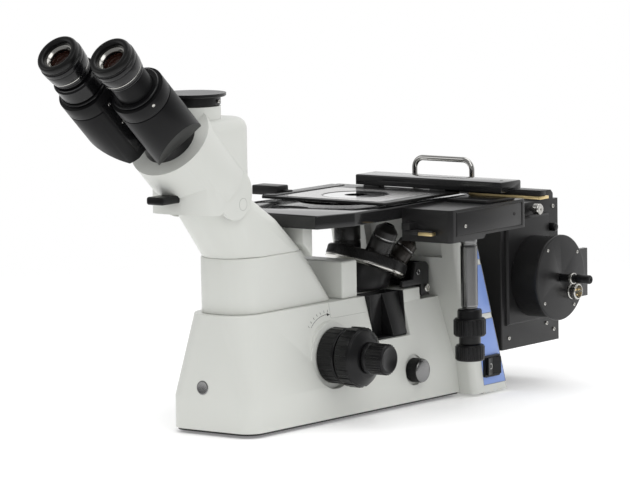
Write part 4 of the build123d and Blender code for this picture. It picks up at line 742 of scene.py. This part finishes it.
# mechanical stage
drive = {"x": 114.0, "y": 59.0, "sleeve": 103.5, "upper": 66.5, "lower": 49.0}
coverOut = 141.25
slab("driveCoverPlate", (139.5, 0.0, 187.5), (coverOut, 117.0, 210.5), "stand", "blackPaint", 0.0006)
line("driveCoverSeam", [(141.15, -1.2, 186.6), (141.15, -1.2, 211.2), (141.15, 118.2, 211.2),
     (141.15, 118.2, 186.6)], 0.35, "stand", "pocketBlack", cyclic=True)
screw("driveScrewFront", (coverOut, 14.0, 196.0), (1, 0, 0), "stand", radius=1.9)
screw("driveScrewRear", (coverOut, 104.0, 200.0), (1, 0, 0), "stand", "pocketBlack", 1.8, 0.3)
spindleSpot = mm(drive["x"], drive["y"], drive["sleeve"])
upperSpot = mm(drive["x"], drive["y"], drive["upper"])
lowerSpot = mm(drive["x"], drive["y"], drive["lower"])
sleeve = spun("spindleSleeveTube", [
    (5.05, 0), (8.3, 0), (8.3, 2.0), (8.8, 2.4), (8.8, 66), (8.2, 66.4), (8.2, 69), (8.9, 69.5),
    (8.9, 76.3), (5.05, 76.3),
], spindleSpot, (0, 0, 1), "stand", "darkSteel", 64, 0.0002, True)
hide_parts("spindle_sleeve")
knurl("spindleRods", spindleSpot, (0, 0, 1), 8.7, 3.0, 65.4, 3, 0.3, 2.0, "stand", "knobPlastic")
spun("spindleRings", [(8.2, 3.4)] + [(8.86 + 0.14 * (step % 2), 3.4 + step * 0.7) for step in range(89)]
     + [(8.2, 65.0)], spindleSpot, (0, 0, 1), "stand", "darkSteel", 48, 0, True)
upperKnob = spun("upperStageKnobTurned", [
    (5.05, 0), (11.5, 0), (11.5, 8.0), (15.6, 8.4), (16.5, 9.6), (16.5, 25.6), (15.4, 27.2),
    (12.9, 27.6), (12.9, 34.6), (12.0, 36.6), (5.05, 36.6),
], upperSpot, (0, 0, 1), "upper_knob", "knobPlastic", 72, 0.0003, True)
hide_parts("upper_stage_knob")
knurl("upperKnobRibs", upperSpot, (0, 0, 1), 16.5, 10.0, 25.4, 22, 1.1, 2.9,
      "upper_knob", "knobPlastic")
lowerKnob = spun("lowerStageKnobTurned", [
    (0, 0.4), (9.0, 0.4), (10.0, 0), (13.8, 0), (15.0, 1.2), (15.0, 15.4), (14.0, 16.9), (5.0, 17.0),
    (5.0, 158.5), (0, 158.5),
], lowerSpot, (0, 0, 1), "lower_knob", "knobPlastic", 72, 0.0003)
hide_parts("lower_stage_knob")
knurl("lowerKnobRibs", lowerSpot, (0, 0, 1), 15.0, 1.8, 15.2, 22, 1.0, 2.6,
      "lower_knob", "knobPlastic")
dressed("x_bar", "xBarShell", "x_slide", "stageBlack", 0.0005, 2)
dressed("x_rail", "xRailBar", "y_slide", "railBlack", 0.0004, 2)
brassTop = slab("brassStripBar", (89.0, 95.0, 217.6), (180.0, 111.0, 220.5), "y_slide", "brass", 0.0003)
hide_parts("brass_strip")
slab("slidePlate", (86.0, 60.0, 214.1), (136.0, 113.0, 217.5), "y_slide", "blackPaint", 0.0005)
dressed("clip_block", "clipBlockShell", "x_slide", "blackPaint", 0.0005, 2)
dressed("specimen_holder", "holderFrame", "x_slide", "holderBlack", 0.0003, 2)
dressed("lock_lever", "lockLeverBar", "lock", "blackPaint", 0.0004, 2)
slab("lockLeverTip", (107.0, -22.2, 187.8), (124.0, -13.8, 191.4), "lock", "brass", 0.0006)
plateSet = {"x": (-56.0, 70.0), "y": (-37.0, 58.0), "z": 222.05, "thick": 0.3, "hole": 36.2,
            "centre": (5.0, 10.3)}


def holedPlate(name, settings, body, paintName):
    # a flat plate with a round hole, closed by a strip between the two outlines
    count = 96
    (x0, x1), (y0, y1) = settings["x"], settings["y"]
    cx, cy = settings["centre"]
    bm = bmesh.new()
    inner, outer = [], []
    for index in range(count):
        turnBy = math.tau * index / count
        dx, dy = math.cos(turnBy), math.sin(turnBy)
        reach = min(
            ((x1 - cx) / dx if dx > 0 else (x0 - cx) / dx) if abs(dx) > 1e-6 else 1e6,
            ((y1 - cy) / dy if dy > 0 else (y0 - cy) / dy) if abs(dy) > 1e-6 else 1e6,
        )
        inner.append(bm.verts.new(mm(cx + dx * settings["hole"], cy + dy * settings["hole"],
                                     settings["z"])))
        outer.append(bm.verts.new(mm(cx + dx * reach, cy + dy * reach, settings["z"])))
    for index in range(count):
        after = (index + 1) % count
        bm.faces.new((inner[index], outer[index], outer[after], inner[after]))
    grown = bmesh.ops.extrude_face_region(bm, geom=list(bm.faces))
    moved = [g for g in grown["geom"] if isinstance(g, bmesh.types.BMVert)]
    bmesh.ops.translate(bm, vec=mm(0, 0, settings["thick"]), verts=moved)
    return toPiece(name, bm, body, paintName)


holedPlate("holderPlate", plateSet, "x_slide", "plateGrey")
insertSet = {"centre": (5.0, 10.3), "top": 222.0}
spun("insertRim", [(34.6, 0), (35.5, 0), (35.5, 0.35), (34.6, 0.35)],
     mm(*insertSet["centre"], insertSet["top"]), (0, 0, 1), "x_slide", "darkSteel", 96, 0, True)
arcTurns = [math.radians(a) for a in range(60, 151, 9)]
line("stageArcGroove", [(-8 + 30 * math.cos(a), -96 + 22 * math.sin(a), 217.02) for a in arcTurns],
     0.5, "stand", "pocketBlack")
slab("holderClipArm", (-79.0, -8.0, 221.0), (-70.0, 0.0, 224.4), "x_slide", "blackPaint", 0.0006)
screw("barScrewFront", (128.0, 100.0, 234.4), (0, 0, 1), "x_slide", "darkSteel", 2.0, 0.5)
print("mechanical stage done")

# lamp unit
lamp = {"y": 219.0, "z": 119.0, "discX": 122.0, "screwRing": 40.0, "caseX": 83, "socket": (238, 102.5)}
lampSpot = mm(lamp["discX"], lamp["y"], lamp["z"])
for index, turnBy in enumerate((38, 128, 218, 308)):
    spotY = lamp["y"] + lamp["screwRing"] * math.cos(math.radians(turnBy))
    spotZ = lamp["z"] + lamp["screwRing"] * math.sin(math.radians(turnBy))
    screw(f"lampDiscScrew{index + 1}", (lamp["discX"], spotY, spotZ), (1, 0, 0), "stand", radius=1.8,
          height=0.9)
for index, (y, z) in enumerate(((176.0, 56.0), (262.0, 56.0), (262.0, 190.0), (248.0, 64.0))):
    screw(f"lampCaseScrew{index + 1}", (83.0, y, z), (1, 0, 0), "stand", radius=2.2)
spun("filterScrewKnob", [(0, -0.4), (2.5, -0.4), (2.5, 5.0), (5.4, 5.2), (6.0, 6.0), (6.0, 12.0),
     (5.2, 13.0), (1.2, 13.0), (1.2, 12.2), (0, 12.2)], mm(lamp["caseX"], 220, 191), (1, 0, 0),
     "stand", "nickel", 40, 0.0002)
spun("lampPlunger", [(0, -0.4), (4.5, -0.4), (4.5, 7.6), (3.6, 9.0), (0, 9.4)],
     mm(lamp["caseX"], 256, 168), (1, 0, 0), "stand", "knobPlastic", 40, 0.0003)
rod = spun("lampCentringRod", [
    (0, -7.5), (4.1, -7.5), (4.1, 12.0), (5.2, 12.2), (5.8, 13.0), (5.8, 16.2), (5.2, 17.0), (4.2, 17.2),
    (4.2, 20.0), (4.8, 20.6), (4.8, 36.6), (4.0, 38.0), (1.6, 38.0), (1.2, 36.9), (0, 36.9),
], lampSpot, (1, 0, 0), "lamp_centring", "knobPlastic", 48, 0.0002)
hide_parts("lamp_rod")
spun("rodCollar", [(4.3, 12.4), (5.9, 12.6), (6.1, 13.2), (6.1, 16.4), (5.9, 16.9), (4.3, 17.0)],
     lampSpot, (1, 0, 0), "lamp_centring", "nickel", 48, 0.0001, True)
socket = spun("lampSocket", [(0, 0.0), (8.5, 0.0), (8.5, 2.0), (7.7, 2.4), (7.7, 3.4), (8.4, 3.8),
              (8.4, 9.4), (7.8, 10.0), (6.9, 10.0), (6.9, 3.2), (0, 3.0)],
              mm(lamp["discX"], *lamp["socket"]), (1, 0, 0), "stand", "nickel", 48, 0.0001)
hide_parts("lamp_connector")
pinSet = {"count": 3, "ring": 3.6, "turn": 0.5}
for index in range(pinSet["count"]):
    turnBy = math.tau * index / pinSet["count"] + pinSet["turn"]
    pinY = lamp["socket"][0] + pinSet["ring"] * math.cos(turnBy)
    pinZ = lamp["socket"][1] + pinSet["ring"] * math.sin(turnBy)
    spun(f"socketPin{index + 1}", [(0, 3.0), (1.0, 3.0), (1.0, 8.0), (0.5, 8.6), (0, 8.6)],
         mm(lamp["discX"], pinY, pinZ), (1, 0, 0), "stand", "brass", 16, 0)
print("lamp unit done")

# floor and light
stageSet = {"floorColor": (0.93, 0.93, 0.93), "size": 12, "fade": (0.5, 1.3), "key": 16, "fill": 6,
            "top": 17, "ambient": 0.84, "mirrored": 0.24, "floorGlow": 0.2}


def addFloor(settings):
    # a pale floor that turns into the white world away from the object
    mesh = bpy.data.meshes.new("floor")
    bm = bmesh.new()
    bmesh.ops.create_grid(bm, x_segments=1, y_segments=1, size=settings["size"])
    bm.to_mesh(mesh)
    bm.free()
    obj = bpy.data.objects.new("floor", mesh)
    bpy.context.scene.collection.objects.link(obj)
    mat = bpy.data.materials.new("paleFloor")
    mat.use_nodes = True
    n, link = mat.node_tree.nodes, mat.node_tree.links
    shader = n["Principled BSDF"]
    shader.inputs["Base Color"].default_value = (*settings["floorColor"], 1)
    shader.inputs["Roughness"].default_value = 0.9
    shader.inputs["Specular IOR Level"].default_value = 0.1
    shader.inputs["Emission Color"].default_value = (1, 1, 1, 1)
    shader.inputs["Emission Strength"].default_value = settings["floorGlow"]
    place = n.new("ShaderNodeTexCoord")
    far = n.new("ShaderNodeVectorMath")
    far.operation = "LENGTH"
    fade = n.new("ShaderNodeMapRange")
    fade.interpolation_type = "SMOOTHSTEP"
    fade.inputs["From Min"].default_value = settings["fade"][0]
    fade.inputs["From Max"].default_value = settings["fade"][1]
    fade.inputs["To Min"].default_value = 1
    fade.inputs["To Max"].default_value = 0
    link.new(place.outputs["Object"], far.inputs[0])
    link.new(far.outputs["Value"], fade.inputs["Value"])
    link.new(fade.outputs["Result"], shader.inputs["Alpha"])
    mesh.materials.append(mat)


def addLight(name, place, target, size, energy):
    data = bpy.data.lights.new(name, "AREA")
    data.shape = "RECTANGLE"
    data.size, data.size_y = size
    data.energy = energy
    obj = bpy.data.objects.new(name, data)
    bpy.context.scene.collection.objects.link(obj)
    way = Vector(target) - Vector(place)
    obj.matrix_world = Matrix.Translation(place) @ way.to_track_quat("-Z", "Y").to_matrix().to_4x4()


def addWorld(settings):
    # white to the camera; bright behind the object and dim elsewhere in reflections
    world = bpy.data.worlds.new("studio")
    bpy.context.scene.world = world
    world.use_nodes = True
    n, link = world.node_tree.nodes, world.node_tree.links
    plain = n["Background"]
    plain.inputs["Color"].default_value = (1, 1, 1, 1)
    plain.inputs["Strength"].default_value = settings["ambient"]
    bright = n.new("ShaderNodeBackground")
    bright.inputs["Color"].default_value = (1, 1, 1, 1)
    mirrored = n.new("ShaderNodeBackground")
    mirrored.inputs["Color"].default_value = (1, 1, 1, 1)
    place = n.new("ShaderNodeTexCoord")
    behind = n.new("ShaderNodeVectorMath")
    behind.operation = "DOT_PRODUCT"
    behind.inputs[1].default_value = (-0.25, 0.97, 0.0)
    span = n.new("ShaderNodeMapRange")
    span.inputs["From Min"].default_value = 0.2
    span.inputs["From Max"].default_value = 0.8
    span.inputs["To Min"].default_value = settings["mirrored"]
    span.inputs["To Max"].default_value = 1.0
    link.new(place.outputs["Generated"], behind.inputs[0])
    link.new(behind.outputs["Value"], span.inputs["Value"])
    link.new(span.outputs["Result"], mirrored.inputs["Strength"])
    seen = n.new("ShaderNodeLightPath")
    clear = n.new("ShaderNodeMath")
    clear.operation = "MAXIMUM"
    gloss = n.new("ShaderNodeMixShader")
    mix = n.new("ShaderNodeMixShader")
    link.new(seen.outputs["Is Glossy Ray"], gloss.inputs["Fac"])
    link.new(plain.outputs[0], gloss.inputs[1])
    link.new(mirrored.outputs[0], gloss.inputs[2])
    link.new(seen.outputs["Is Camera Ray"], clear.inputs[0])
    link.new(seen.outputs["Is Transmission Ray"], clear.inputs[1])
    link.new(clear.outputs[0], mix.inputs["Fac"])
    link.new(gloss.outputs[0], mix.inputs[1])
    link.new(bright.outputs[0], mix.inputs[2])
    link.new(mix.outputs[0], n["World Output"].inputs["Surface"])


addFloor(stageSet)
addWorld(stageSet)
addLight("keyLight", (1.9, -1.2, 2.3), (0, 0, 0.15), (1.8, 1.8), stageSet["key"])
addLight("fillLight", (-2.2, -1.8, 1.4), (0, -0.1, 0.15), (1.6, 1.6), stageSet["fill"])
addLight("topLight", (0.2, 0.6, 2.6), (0, 0, 0.1), (2.2, 2.2), stageSet["top"])
bpy.context.scene.view_settings.view_transform = "Standard"
print("floor and light set")
